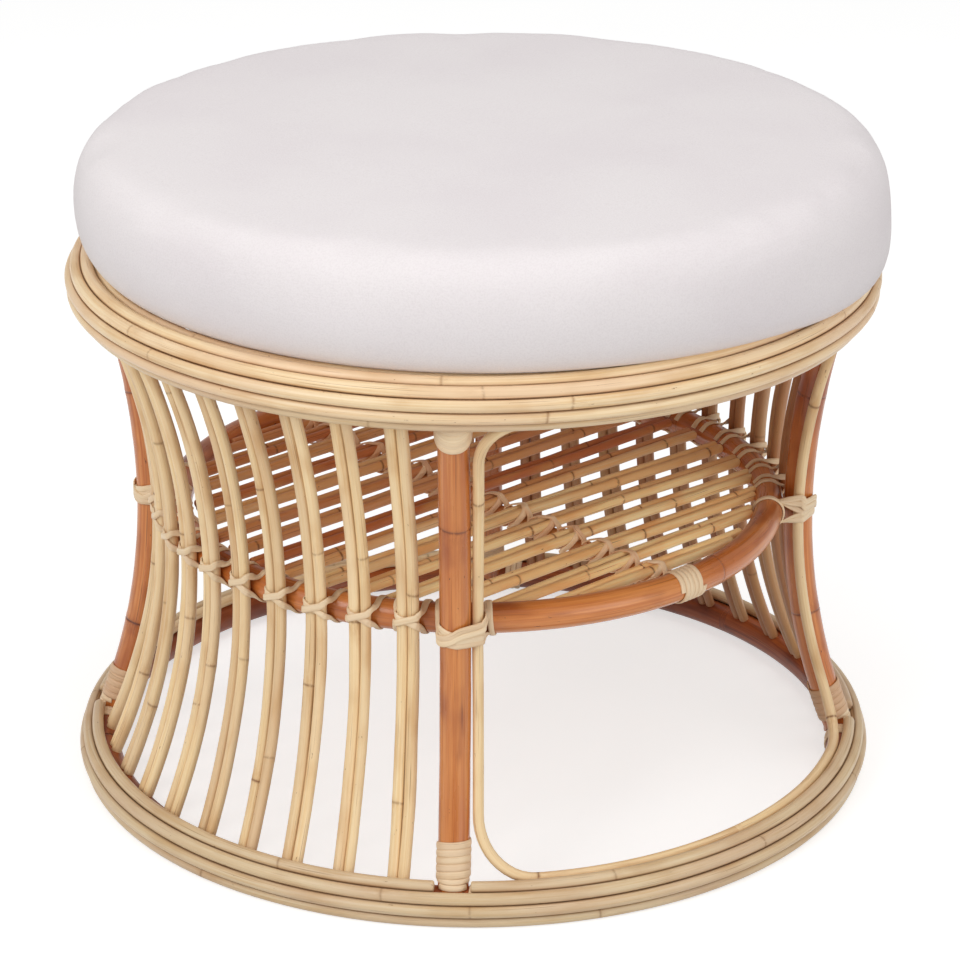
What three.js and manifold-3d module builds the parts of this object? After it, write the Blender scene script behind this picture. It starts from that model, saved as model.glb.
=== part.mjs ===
import * as THREE from 'three';
import { mergeVertices } from 'three/addons/utils/BufferGeometryUtils.js';
import Module from 'manifold-3d';

const wasm = await Module();
wasm.setup();

// A round rattan stool with a loose cushion and a slatted shelf at its waist.
// Millimetres, +Z up, floor at zero. The open sides face -Y and +Y, the spindle panels -X and +X.

// Rings and hoops
const topRingRadius = 260;
const baseRingRadius = 264;
const topHoopHeight = 335.5;
const shelfHoopRadius = 193.5;
const shelfHoopHeight = 176.5;

// Stock that the frame is bent from
const poleDiameter = 19;
const wrapCaneDiameter = 7.6;
const spindleCaneDiameter = 6.6;
const archCaneDiameter = 7;
const slatCaneDiameter = 6.2;
const bearerDiameter = 10;

// Binding strip, split from cane
const stripWidth = 3.8;
const stripThickness = 1;
const footStripWidth = 6.2;
const headStripWidth = 4.2;

// Clearances
const fitGap = 0.3;
const laceGap = 0.85;
const turnGap = 0.5;
const overlap = 0.6;

// Arches, slats and their places
const archTopCorner = 30;
const archBaseCorner = 38;
const shelfSlatPitch = 24.4;
const seatSlatPitch = 34;
const slatRise = 3;
const postCopeDepth = 3.8;
const lashReach = 8.6;
const crossRise = 6;

// Loose cushion
const cushionHeight = 75;
const cushionSetback = 1.5;
const cushionCrown = 3.6;
const cushionTopEdge = 22;
const cushionBaseEdge = 12;
const cushionSink = 0.8;
const cushionBulge = 2.4;
const coverThickness = 1.4;
const coverOpeningRadius = 170;

// Counts
const ringFacets = 32;
const hoopSides = 8;
const caneSides = 6;
const topCaneCount = 5;
const baseCaneCount = 3;
const spindlesPerPanel = 10;
const shelfSlatCount = 15;
const seatSlatCount = 13;
const turnSteps = 8;
const postSteps = 8;
const spindleSteps = 6;
const footTurns = 3;
const headTurns = 3;
const cornerSteps = 3;
const cushionEdgeSteps = 2;
const bendWidths = 4;
const passLayers = 1.4;

// Angles
const degrees = Math.PI / 180;
const topCaneStart = 77.6 * degrees;
const baseCaneStart = 68 * degrees;
const postSpacing = 90 * degrees;
const firstPost = 45 * degrees;
const quarterTurn = 90 * degrees;

// Corners of outlines and of the windings' routes, in degrees round a cane or a hoop
const lobeCorners = [-90, -30, 30, 90];
const overHoop = 90;
const behindHoop = [-90, -150, 150];
const startOverHoop = [135, 90];
const passOverHoop = [112];
const onLeftLobe = [180, 120];
const onRightLobe = [60, 0];
const onPost = [180, 135, 90, 45];
const onArch = [45, 0];

// Shares of a size named above
const lobeShare = 0.97;
const neckShare = 0.42;
const legShares = [0.66, 0.33, 0.1];
const crownShares = [0.6, 0];
const lacingShares = [1, 0.6, -0.6, -1];
const waistShares = [1, 0.8, 0.4, 0, -0.6, -1];
const startShare = 0.7;
const passShare = 0.3;
const lashTopShare = 0.7;
const lashSlantShare = 0.2;
const lashBaseShare = 0.5;
const lashFaceShare = 0.35;
const sampleShares = [0, 0.33, 0.67];

// Sizes worked out from the ones above
const poleRadius = poleDiameter / 2;
const wrapCaneRadius = wrapCaneDiameter / 2;
const spindleRadius = spindleCaneDiameter / 2;
const archRadius = archCaneDiameter / 2;
const slatRadius = slatCaneDiameter / 2;
const wrapOrbit = poleRadius + fitGap + wrapCaneRadius;
const archOrbit = poleRadius + fitGap + archRadius;
const wrapPitch = 2 * Math.asin((wrapCaneDiameter + fitGap) / (2 * wrapOrbit));
const baseCaneAngle = (index) => baseCaneStart - index * wrapPitch;
const topCaneAngle = (index) => topCaneStart - index * wrapPitch;
const lowestBaseCane = baseCaneAngle(baseCaneCount);
const flatSide = Math.cos(Math.PI / caneSides);
const baseHoopHeight = wrapCaneRadius * flatSide - wrapOrbit * Math.sin(lowestBaseCane);
const widest = (angleOf, count) =>
  Math.max(...Array.from({ length: count + 1 }, (_, i) => Math.cos(angleOf(i)))) * wrapOrbit;
const topHoopRadius = topRingRadius - wrapCaneRadius - widest(topCaneAngle, topCaneCount - 1);
const baseHoopRadius = baseRingRadius - wrapCaneRadius - widest(baseCaneAngle, baseCaneCount);
const postWaistRadius = shelfHoopRadius + poleDiameter + fitGap;
const spindleWaistRadius = shelfHoopRadius + poleRadius + fitGap + spindleRadius;
const postSide = poleRadius + fitGap + archRadius;
const bindingReach = poleRadius + (fitGap + stripThickness) / Math.cos(Math.PI / turnSteps);
const bindingSide = bindingReach + fitGap + archRadius;
const shelfRiseHeight = topHoopHeight - shelfHoopHeight;
const shelfDropHeight = shelfHoopHeight - baseHoopHeight;
const shelfSlatHeight = shelfHoopHeight + slatRise;
const seatSlatHeight = topHoopHeight + slatRise;
const cushionRadius = topRingRadius - cushionSetback;
const highestCaneTop = topHoopHeight + wrapOrbit * Math.sin(topCaneAngle(0)) + wrapCaneRadius;
const cushionSeat = highestCaneTop + fitGap - cushionSink;

// Colours and finishes
const paleCane = { color: 0xd9bd8e, roughness: 0.55, metalness: 0 };
const warmPole = { color: 0xb9683a, roughness: 0.38, metalness: 0 };
const slatCane = { color: 0xc79a5b, roughness: 0.5, metalness: 0 };
const splitCane = { color: 0xe3cda3, roughness: 0.6, metalness: 0 };
const coverCloth = { color: 0xe9e1df, roughness: 0.9, metalness: 0 };
const cushionFoam = { color: 0xf1e7c4, roughness: 0.95, metalness: 0 };

const stool = new THREE.Group();

function place(name, geometry, finish, azimuth = 0) {
  const mesh = new THREE.Mesh(geometry, new THREE.MeshStandardMaterial(finish));
  mesh.name = name;
  mesh.rotation.z = azimuth;
  stool.add(mesh);
}

// Solids for joins and cuts
function toSolid(geometry) {
  const bare = geometry.clone();
  bare.deleteAttribute('normal');
  bare.deleteAttribute('uv');
  const merged = mergeVertices(bare);
  const vertProperties = new Float32Array(merged.attributes.position.array);
  const triVerts = new Uint32Array(merged.index.array);
  return new wasm.Manifold(new wasm.Mesh({ numProp: 3, vertProperties, triVerts }));
}

function toGeometry(solid) {
  const mesh = solid.getMesh();
  const geometry = new THREE.BufferGeometry();
  geometry.setAttribute('position', new THREE.BufferAttribute(mesh.vertProperties, 3));
  geometry.setIndex(new THREE.BufferAttribute(mesh.triVerts, 1));
  geometry.computeVertexNormals();
  return geometry;
}

// A ring is a polygon swept round Z. Every ring has the same facets, so their gaps stay even.
function polygon(radius, sides, turn) {
  return Array.from({ length: sides }, (_, i) => {
    const angle = turn + (i / sides) * 2 * Math.PI;
    return new THREE.Vector2(radius * Math.cos(angle), radius * Math.sin(angle));
  });
}

function revolve(profile) {
  return new THREE.LatheGeometry(profile, ringFacets).rotateX(quarterTurn);
}

function ring(axisRadius, height, radius, sides, turn) {
  const profile = polygon(radius, sides, turn);
  profile.forEach((point) => point.add(new THREE.Vector2(axisRadius, height)));
  return revolve([...profile, profile[0].clone()]);
}

// How far a ring's facets draw in from its true circle, as a share, at one azimuth.
function facetShare(azimuth) {
  const half = Math.PI / ringFacets;
  const turned = ((azimuth % (2 * half)) + 2 * half) % (2 * half);
  return Math.cos(half) / Math.cos(turned - half);
}

// Height and plan radius of an upright that bows in to the shelf hoop, drawn in the XZ plane.
class Upright extends THREE.Curve {
  constructor({ waist, top, base, topSeat, baseSeat, share }) {
    super();
    Object.assign(this, { waist, top, base, share });
    this.end = topHoopHeight - topSeat * Math.cos(lean(top - waist, shelfRiseHeight));
    this.start = baseHoopHeight + baseSeat * Math.cos(lean(base - waist, shelfDropHeight));
  }

  radiusAt(height) {
    const rise = height - shelfHoopHeight;
    const [far, reach] = rise > 0 ? [this.top, shelfRiseHeight] : [this.base, shelfDropHeight];
    return this.share * (this.waist + (far - this.waist) * (rise / reach) ** 2);
  }

  getPoint(t, target = new THREE.Vector3()) {
    const height = THREE.MathUtils.lerp(this.start, this.end, t);
    return target.set(this.radiusAt(height), 0, height);
  }
}

// The angle from vertical at which an upright meets its ring.
function lean(spread, reach) {
  return Math.atan((2 * spread) / reach);
}

function extrudeAlong(path, outline, steps) {
  const shape = new THREE.Shape(outline);
  return new THREE.ExtrudeGeometry(shape, { extrudePath: path, steps, bevelEnabled: false });
}

// Two canes side by side in one outline, the gap between them closed to a narrow neck.
function pairOutline(radius) {
  const centre = radius * lobeShare;
  const neck = radius * neckShare;
  const lobe = lobeCorners.map((angle) => {
    const turned = angle * degrees;
    return new THREE.Vector2(centre + radius * Math.cos(turned), radius * Math.sin(turned));
  });
  const mirrored = lobe.map((point) => point.clone().multiplyScalar(-1));
  return [...lobe, new THREE.Vector2(0, neck), ...mirrored, new THREE.Vector2(0, -neck)];
}

// Whether a twisted facet would cave in along its diagonal from b to c.
function cavesIn(a, b, c, d) {
  const normal = c.clone().sub(a).cross(b.clone().sub(a));
  return normal.dot(d.clone().sub(a)) > 0;
}

// A flat strip through points, its face turned to each point's normal, closed at both ends.
// Its twisted facets are split so that they stand out, which keeps the strip thick where it turns.
function strip(route, width, thickness) {
  const rings = route.map(({ point, normal }, i) => {
    const before = route[Math.max(i - 1, 0)].point;
    const after = route[Math.min(i + 1, route.length - 1)].point;
    const along = after.clone().sub(before).normalize();
    const side = along.clone().cross(normal).normalize();
    const face = side.clone().cross(along).normalize();
    return [[1, 1], [-1, 1], [-1, -1], [1, -1]].map(([a, b]) =>
      point.clone()
        .addScaledVector(side, (a * width) / 2)
        .addScaledVector(face, (b * thickness) / 2));
  });
  const corners = rings[0].length;
  const index = [];
  for (let i = 0; i + 1 < rings.length; i += 1) {
    for (let j = 0; j < corners; j += 1) {
      const next = (j + 1) % corners;
      const [a, b] = [i * corners + j, i * corners + next];
      const [c, d] = [a + corners, b + corners];
      const caves = cavesIn(rings[i][j], rings[i][next], rings[i + 1][j], rings[i + 1][next]);
      index.push(...(caves ? [a, c, d, a, d, b] : [a, c, b, b, c, d]));
    }
  }
  const last = (rings.length - 1) * corners;
  index.push(0, 1, 2, 0, 2, 3, last, last + 2, last + 1, last, last + 3, last + 2);
  const geometry = new THREE.BufferGeometry();
  const flat = rings.flat().flatMap((corner) => corner.toArray());
  geometry.setAttribute('position', new THREE.Float32BufferAttribute(flat, 3));
  geometry.setIndex(index);
  geometry.computeVertexNormals();
  return { geometry, gap: leastGap(rings, width) };
}

// The least gap between parts of one strip that are further apart along it than its own bends.
function leastGap(rings, width) {
  const samples = [];
  let travelled = 0;
  for (let i = 0; i + 1 < rings.length; i += 1) {
    const length = rings[i][0].distanceTo(rings[i + 1][0]);
    for (const share of sampleShares) {
      rings[i].forEach((corner, j) => {
        const next = (j + 1) % rings[i].length;
        const start = corner.clone().lerp(rings[i + 1][j], share);
        const other = rings[i][next].clone().lerp(rings[i + 1][next], share);
        samples.push({ point: start, place: travelled + share * length });
        samples.push({ point: start.clone().lerp(other, 0.5), place: travelled + share * length });
      });
    }
    travelled += length;
  }
  let least = Infinity;
  samples.forEach((a, i) => {
    for (let j = i + 1; j < samples.length; j += 1) {
      const b = samples[j];
      if (b.place - a.place > bendWidths * width) least = Math.min(least, a.point.distanceTo(b.point));
    }
  });
  return least;
}

const windingGaps = {};

function placeStrip(name, kind, route, width) {
  const { geometry, gap } = strip(route, width, stripThickness);
  windingGaps[kind] = Math.min(windingGaps[kind] ?? Infinity, gap);
  place(name, geometry, splitCane);
}

// A turn's corners stand off its core so that its straight runs clear it.
function turnRadius(coreRadius, steps, layer = 0) {
  const clear = coreRadius + laceGap + stripThickness / 2;
  return clear / Math.cos(Math.PI / steps) + layer * (stripThickness + turnGap);
}

// A place beside the shelf hoop: along it, out from its axis, and up from its axis.
function beside(azimuth, along, out, up, facing) {
  const turned = azimuth + along / (shelfHoopRadius + out);
  const radius = shelfHoopRadius * facetShare(turned) + out;
  const outward = new THREE.Vector3(Math.cos(turned), Math.sin(turned), 0);
  const onward = new THREE.Vector3(-Math.sin(turned), Math.cos(turned), 0);
  const point = outward.clone().multiplyScalar(radius).setZ(shelfHoopHeight + up);
  const normal = onward.multiplyScalar(facing[0]).addScaledVector(outward, facing[1]);
  normal.z += facing[2];
  return { point, normal };
}

function roundHoop(azimuth, along, angles, layer = 0) {
  const radius = turnRadius(poleRadius, caneSides, layer);
  return angles.map((angle) => {
    const [out, up] = [Math.cos(angle * degrees), Math.sin(angle * degrees)];
    return beside(azimuth, along, radius * out, radius * up, [0, out, up]);
  });
}

// The corners of a strip round one cane that stands outside the hoop, from one angle to another.
function roundCane(azimuth, side, cane, angles, heights, layer) {
  const radius = turnRadius(cane.radius, cane.steps, layer);
  const outward = new THREE.Vector3(Math.cos(azimuth), Math.sin(azimuth), 0);
  const onward = new THREE.Vector3(-Math.sin(azimuth), Math.cos(azimuth), 0).multiplyScalar(side);
  return angles.map((angle, i) => {
    const [x, y] = [Math.cos(angle * degrees), Math.sin(angle * degrees)];
    const normal = onward.clone().multiplyScalar(x).addScaledVector(outward, y);
    const point = outward.clone().multiplyScalar(cane.fromAxis)
      .addScaledVector(onward, cane.along)
      .addScaledVector(normal, radius)
      .setZ(shelfHoopHeight + heights[i]);
    return { point, normal };
  });
}

// Rings: a pole hoop at the core of each, with canes laid round its outer side.
const spindleLean = {
  top: lean(topHoopRadius - spindleWaistRadius, shelfRiseHeight),
  base: lean(baseHoopRadius - spindleWaistRadius, shelfDropHeight),
};
const topHoopTurn = -quarterTurn - spindleLean.top;
const baseHoopTurn = quarterTurn + spindleLean.base;

const topHoop = ring(topHoopRadius, topHoopHeight, poleRadius, hoopSides, topHoopTurn);
place('top_core_hoop', topHoop, warmPole);
const baseHoop = ring(baseHoopRadius, baseHoopHeight, poleRadius, hoopSides, baseHoopTurn);
place('base_core_hoop', baseHoop, warmPole);
const shelfHoop = ring(shelfHoopRadius, shelfHoopHeight, poleRadius, hoopSides, 0);
place('shelf_hoop', shelfHoop, warmPole);

function wrapCane(hoopRadius, hoopHeight, angle, turn = angle + Math.PI) {
  const radius = hoopRadius + wrapOrbit * Math.cos(angle);
  const height = hoopHeight + wrapOrbit * Math.sin(angle);
  return ring(radius, height, wrapCaneRadius, caneSides, turn);
}

for (let i = 0; i < topCaneCount; i += 1) {
  place(`top_ring_cane_${i + 1}`, wrapCane(topHoopRadius, topHoopHeight, topCaneAngle(i)), paleCane);
}

// The lowest cane has a flat side down, which the stool stands on.
for (let i = 1; i <= baseCaneCount; i += 1) {
  const turn = i === baseCaneCount ? 0 : undefined;
  const cane = wrapCane(baseHoopRadius, baseHoopHeight, baseCaneAngle(i), turn);
  place(`base_ring_cane_${i + 1}`, cane, paleCane);
}

// Posts: bowed poles, coped over the core hoops and standing outside the shelf hoop.
const postLean = lean(topHoopRadius - postWaistRadius, shelfRiseHeight);
const lowestTopCane = topCaneAngle(topCaneCount - 1);
const headInset = (wrapOrbit - wrapOrbit * Math.cos(lowestTopCane + postLean)) / Math.cos(postLean);
const postNames = ['right_back', 'left_back', 'left_front', 'right_front'];
const postAzimuths = postNames.map((_, i) => firstPost + i * postSpacing);
const postPath = new Upright({
  waist: postWaistRadius,
  top: topHoopRadius - Math.max(headInset, 0),
  base: baseHoopRadius,
  topSeat: poleRadius + fitGap - postCopeDepth,
  baseSeat: poleRadius + fitGap - postCopeDepth,
  share: facetShare(firstPost),
});
const copeRadius = (poleRadius + fitGap) / Math.cos(Math.PI / hoopSides);
const topCope = toSolid(ring(topHoopRadius, topHoopHeight, copeRadius, hoopSides, topHoopTurn));
const baseCope = toSolid(ring(baseHoopRadius, baseHoopHeight, copeRadius, hoopSides, baseHoopTurn));
const postBlank = extrudeAlong(postPath, polygon(poleRadius, hoopSides, 0), postSteps);

postAzimuths.forEach((azimuth, i) => {
  const blank = toSolid(postBlank.clone().rotateZ(azimuth));
  place(`post_${postNames[i]}`, toGeometry(blank.subtract(topCope).subtract(baseCope)), warmPole);
});

// The highest base cane is cut short of each post's foot, so it lies in four lengths.
const footClear = bindingReach + fitGap;
const footAngle = footClear / baseHoopRadius;
const highestBaseCane = toSolid(wrapCane(baseHoopRadius, baseHoopHeight, baseCaneAngle(0)));
const sectorReach = baseRingRadius * 2;
const sectorHeight = shelfHoopHeight;
const sectorNames = ['back', 'left', 'front', 'right'];

sectorNames.forEach((name, i) => {
  const from = postAzimuths[i] + footAngle;
  const to = postAzimuths[i] + postSpacing - footAngle;
  const edge = (azimuth) => new THREE.Vector2(sectorReach, 0).rotateAround(new THREE.Vector2(), azimuth);
  const wedge = new THREE.Shape([new THREE.Vector2(), edge(from), edge((from + to) / 2), edge(to)]);
  const block = new THREE.ExtrudeGeometry(wedge, { depth: sectorHeight, bevelEnabled: false });
  place(`base_ring_cane_1_${name}`, toGeometry(highestBaseCane.intersect(toSolid(block))), paleCane);
});

// Spindles: pairs of canes bowed round the shelf hoop, butted on the core hoops.
const spindleSeat = poleRadius + fitGap;
const panels = [
  { name: 'left', post: postAzimuths[1] },
  { name: 'right', post: postAzimuths[3] },
];
const spindleStep = postSpacing / (spindlesPerPanel + 1);

for (const panel of panels) {
  for (let i = 1; i <= spindlesPerPanel; i += 1) {
    const azimuth = panel.post + i * spindleStep;
    const path = new Upright({
      waist: spindleWaistRadius,
      top: topHoopRadius,
      base: baseHoopRadius,
      topSeat: spindleSeat,
      baseSeat: spindleSeat,
      share: facetShare(azimuth),
    });
    const pair = extrudeAlong(path, pairOutline(spindleRadius), spindleSteps);
    place(`spindle_pair_${panel.name}_${i}`, pair, paleCane, azimuth);
  }
}

// Arches: one bent cane lines each open side, beside both posts and along both rings.
const archPitch = 2 * Math.asin((wrapCaneRadius + archRadius + fitGap) / (wrapOrbit + archOrbit));
const archTopAngle = lowestTopCane - archPitch;
const archBaseAngle = baseCaneAngle(0) + archPitch;
const archTop = {
  radius: topHoopRadius + archOrbit * Math.cos(archTopAngle),
  height: topHoopHeight + archOrbit * Math.sin(archTopAngle),
};
const archBase = {
  radius: baseHoopRadius + archOrbit * Math.cos(archBaseAngle),
  height: baseHoopHeight + archOrbit * Math.sin(archBaseAngle),
};

// A point of the arch, given how far it is from the post's axis and its height.
function archPoint(postAzimuth, side, away, height) {
  const upper = height > shelfHoopHeight;
  const end = upper ? archTop : archBase;
  const share = (height - shelfHoopHeight) / (end.height - shelfHoopHeight);
  const radius = postWaistRadius + (end.radius - postWaistRadius) * share ** 2;
  const azimuth = postAzimuth + (side * away) / radius;
  const drawn = radius * facetShare(azimuth);
  return new THREE.Vector3(drawn * Math.cos(azimuth), drawn * Math.sin(azimuth), height);
}

// Half of an arch beside one post, from the middle of its foot to the middle of its top.
function archHalf(postAzimuth, side) {
  const corner = (size, centre, from, to) =>
    Array.from({ length: cornerSteps + 1 }, (_, step) => {
      const angle = THREE.MathUtils.lerp(from, to, step / cornerSteps);
      const away = bindingSide + size * (1 - Math.cos(angle));
      return archPoint(postAzimuth, side, away, centre + size * Math.sin(angle));
    });
  const facet = (2 * Math.PI) / ringFacets;
  const run = (end, size) => {
    const count = Math.floor((postSpacing / 2 - (bindingSide + size) / end.radius) / facet) + 1;
    return Array.from({ length: count }, (_, i) =>
      archPoint(postAzimuth, side, (postSpacing / 2 - i * facet) * end.radius, end.height));
  };
  const leg = (cornerHeight) => legShares.map((share) => {
    const height = THREE.MathUtils.lerp(shelfHoopHeight, cornerHeight, share);
    return archPoint(postAzimuth, side, THREE.MathUtils.lerp(postSide, bindingSide, share), height);
  });
  const footCentre = archBase.height + archBaseCorner;
  const headCentre = archTop.height - archTopCorner;
  return [
    ...run(archBase, archBaseCorner),
    ...corner(archBaseCorner, footCentre, -quarterTurn, 0),
    ...leg(footCentre),
    ...leg(headCentre).reverse(),
    ...corner(archTopCorner, headCentre, 0, quarterTurn),
    ...run(archTop, archTopCorner).reverse(),
  ];
}

// A closed round tube through points that lie near one surface round Z.
function closedTube(points, radius, sides) {
  const rings = points.map((point, i) => {
    const before = points[(i + points.length - 1) % points.length];
    const after = points[(i + 1) % points.length];
    const into = point.clone().sub(before).normalize();
    const out = after.clone().sub(point).normalize();
    const along = into.clone().add(out).normalize();
    const outward = new THREE.Vector3(point.x, point.y, 0).normalize();
    const side = along.clone().cross(outward).normalize();
    const face = side.clone().cross(along).normalize();
    const mitre = 1 / Math.max(into.dot(along), Math.cos(firstPost));
    return polygon(radius, sides, Math.PI / sides).map((corner) =>
      point.clone().addScaledVector(side, corner.x * mitre).addScaledVector(face, corner.y));
  });
  const index = [];
  rings.forEach((_, i) => {
    const next = (i + 1) % rings.length;
    for (let j = 0; j < sides; j += 1) {
      const other = (j + 1) % sides;
      const [a, b] = [i * sides + j, i * sides + other];
      const [c, d] = [next * sides + j, next * sides + other];
      index.push(a, c, b, b, c, d);
    }
  });
  const geometry = new THREE.BufferGeometry();
  const flat = rings.flat().flatMap((corner) => corner.toArray());
  geometry.setAttribute('position', new THREE.Float32BufferAttribute(flat, 3));
  geometry.setIndex(index);
  geometry.computeVertexNormals();
  return geometry;
}

const arches = [
  { name: 'front', first: postAzimuths[2], second: postAzimuths[3] },
  { name: 'back', first: postAzimuths[0], second: postAzimuths[1] },
];

for (const arch of arches) {
  const up = archHalf(arch.first, 1);
  const down = archHalf(arch.second, -1).reverse();
  place(`arch_${arch.name}`, closedTube([...up, ...down.slice(1, -1)], archRadius, caneSides), paleCane);
}

// A deck of slats, two canes to a slat, over one bearer along Y, cut to the room inside its hoop.
function disc(radius, height) {
  const profile = [[0, -poleDiameter], [radius, -poleDiameter], [radius, poleDiameter], [0, poleDiameter]];
  const points = profile.map(([x, y]) => new THREE.Vector2(x, height + y));
  return toSolid(revolve(points));
}

function slatDeck(height, count, pitch, length, room) {
  const along = (x, y, z) => new THREE.LineCurve3(new THREE.Vector3(-x, -y, z), new THREE.Vector3(x, y, z));
  const across = pairOutline(slatRadius).map((point) => new THREE.Vector2(-point.y, point.x));
  const slat = extrudeAlong(along(length, 0, height), across, 1);
  const bearerHeight = height - slatRadius - bearerDiameter / 2 + overlap;
  const bearerOutline = polygon(bearerDiameter / 2, hoopSides, 0);
  const bearer = toSolid(extrudeAlong(along(0, length, bearerHeight), bearerOutline, 1));
  const slats = Array.from({ length: count }, (_, i) =>
    toSolid(slat.clone().translate(0, (i - (count - 1) / 2) * pitch, 0)));
  return toGeometry(slats.reduce((whole, piece) => whole.add(piece), bearer).intersect(room));
}

// The shelf's slats end short of the lacing at the panels, and reach the hoop between them.
const shelfReach = shelfHoopRadius - poleRadius - fitGap;
const lacedReach = shelfHoopRadius * Math.cos(Math.PI / ringFacets)
  - turnRadius(poleRadius, caneSides) - stripThickness - fitGap;
const openEdge = firstPost + (postSide + archCaneDiameter + stripWidth + fitGap) / shelfHoopRadius;
const openWidth = 2 * lacedReach * Math.cos(openEdge);
const openRoom = new THREE.BoxGeometry(openWidth, 2 * shelfHoopRadius, 2 * poleDiameter);
const shelfRoom = disc(shelfReach, shelfSlatHeight)
  .intersect(toSolid(openRoom.translate(0, 0, shelfSlatHeight)))
  .add(disc(lacedReach, shelfSlatHeight));
const seatRoom = disc(topHoopRadius - poleRadius - fitGap, seatSlatHeight);
const shelfDeck = slatDeck(shelfSlatHeight, shelfSlatCount, shelfSlatPitch, shelfHoopRadius, shelfRoom);
const seatDeck = slatDeck(seatSlatHeight, seatSlatCount, seatSlatPitch, topHoopRadius, seatRoom);
place('shelf_slats', shelfDeck, slatCane);
place('seat_slats', seatDeck, slatCane);

// The shelf's lashing goes over each slat, down through a gap and back under the bearer.
function shelfLashing() {
  const top = shelfSlatHeight + slatRadius + laceGap + stripThickness / 2;
  const bottom = shelfSlatHeight - slatRadius - bearerDiameter + overlap - laceGap - stripThickness / 2;
  const route = [];
  for (let i = 1; i < shelfSlatCount; i += 1) {
    const gapAt = (place) => (place - shelfSlatCount / 2) * shelfSlatPitch;
    const [here, next] = [gapAt(i), gapAt(i + 1)];
    const add = (x, y, z, nx, nz) => {
      route.push({ point: new THREE.Vector3(x, y, z), normal: new THREE.Vector3(nx, 0, nz) });
    };
    add(-lashReach, here, bottom + slatRadius, -1, -lashFaceShare);
    add(-lashReach, here, top - slatRadius, -1, lashFaceShare);
    if (i + 1 === shelfSlatCount) break;
    const slant = (next - here) * lashSlantShare;
    add(-lashReach * lashTopShare, here + slant, top, -lashFaceShare, 1);
    add(lashReach * lashTopShare, next - slant, top, lashFaceShare, 1);
    add(lashReach, next, top - slatRadius, 1, lashFaceShare);
    add(lashReach, next, bottom + slatRadius, 1, -lashFaceShare);
    add(lashReach * lashBaseShare, next, bottom, lashFaceShare, -1);
    add(-lashReach * lashBaseShare, next, bottom, -lashFaceShare, -1);
  }
  return route;
}

placeStrip('shelf_lashing', 'shelf lashing', shelfLashing(), stripWidth);

// Each panel's lacing crosses in front of a pair, goes behind the hoop, and on to the next pair.
const pairLobe = spindleRadius * lobeShare;
const trackEdge = pairLobe + spindleRadius + fitGap + stripWidth / 2;
const trackStart = trackEdge + stripWidth * startShare;
const passEdge = trackEdge + stripWidth * passShare;

function lacing(azimuths) {
  const heights = lacingShares.map((share) => share * crossRise);
  const [before, after] = [heights.slice(0, onLeftLobe.length), heights.slice(onLeftLobe.length)];
  return azimuths.flatMap((azimuth, i) => {
    const fromAxis = spindleWaistRadius * facetShare(azimuth);
    const left = { along: -pairLobe, fromAxis, radius: spindleRadius, steps: caneSides };
    const right = { along: pairLobe, fromAxis, radius: spindleRadius, steps: caneSides };
    const last = i === azimuths.length - 1;
    return [
      ...roundHoop(azimuth, -trackStart, [overHoop]),
      ...roundCane(azimuth, 1, left, onLeftLobe, before, 0),
      ...roundCane(azimuth, 1, right, onRightLobe, after, 0),
      ...roundHoop(azimuth, trackEdge, [...behindHoop, overHoop]),
      ...roundCane(azimuth, 1, right, onRightLobe.toReversed(), before, 1),
      ...roundCane(azimuth, 1, left, onLeftLobe.toReversed(), after, 1),
      ...roundHoop(azimuth, -trackEdge, behindHoop),
      ...(last ? [] : roundHoop(azimuth, passEdge, passOverHoop, passLayers)),
    ];
  });
}

for (const panel of panels) {
  const azimuths = Array.from({ length: spindlesPerPanel }, (_, i) => panel.post + (i + 1) * spindleStep);
  placeStrip(`panel_lacing_${panel.name}`, 'panel lacing', lacing(azimuths), stripWidth);
}

// Each post's waist binding crosses over the post and the arch beside it, and holds both to the hoop.
const archWaist = archPoint(0, 1, postSide, shelfHoopHeight);
const postCane = { along: 0, fromAxis: postWaistRadius, radius: poleRadius, steps: turnSteps };
const archCane = { along: archWaist.y, fromAxis: archWaist.x, radius: archRadius, steps: turnSteps };
const waistLeft = poleRadius + fitGap + stripWidth / 2;
const waistRight = postSide + archRadius + stripWidth / 2;

function waistBinding(azimuth, side) {
  const heights = waistShares.map((share) => share * crossRise);
  return [
    ...roundHoop(azimuth, -side * waistLeft, startOverHoop),
    ...roundCane(azimuth, side, postCane, onPost, heights.slice(0, onPost.length), 0),
    ...roundCane(azimuth, side, archCane, onArch, heights.slice(onPost.length), 0),
    ...roundHoop(azimuth, side * waistRight, [...behindHoop, overHoop]),
    ...roundCane(azimuth, side, archCane, onArch.toReversed(), heights.slice(0, onArch.length), 1),
    ...roundCane(azimuth, side, postCane, onPost.toReversed(), heights.slice(onArch.length), 1),
    ...roundHoop(azimuth, -side * waistLeft, behindHoop.slice(0, -1)),
  ];
}

const openSide = [1, -1, 1, -1];

postAzimuths.forEach((azimuth, i) => {
  const route = waistBinding(azimuth, openSide[i]);
  placeStrip(`waist_binding_${postNames[i]}`, 'waist binding', route, stripWidth);
});

// Head and foot bindings: turns round a post's end, beside its ring. Their corners lie over the
// post's own edges, and they follow its straight facets, so they lie close to it.
const postStations = postPath.getSpacedPoints(postSteps);

function postRadiusAt(height) {
  const above = postStations.findIndex((station) => station.z > height);
  const next = above < 1 ? postSteps : above;
  const [low, high] = [postStations[next - 1], postStations[next]];
  return THREE.MathUtils.mapLinear(height, low.z, high.z, low.x, high.x);
}

const closeTurn = poleRadius + (fitGap + stripThickness / 2) / Math.cos(Math.PI / turnSteps);

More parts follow.
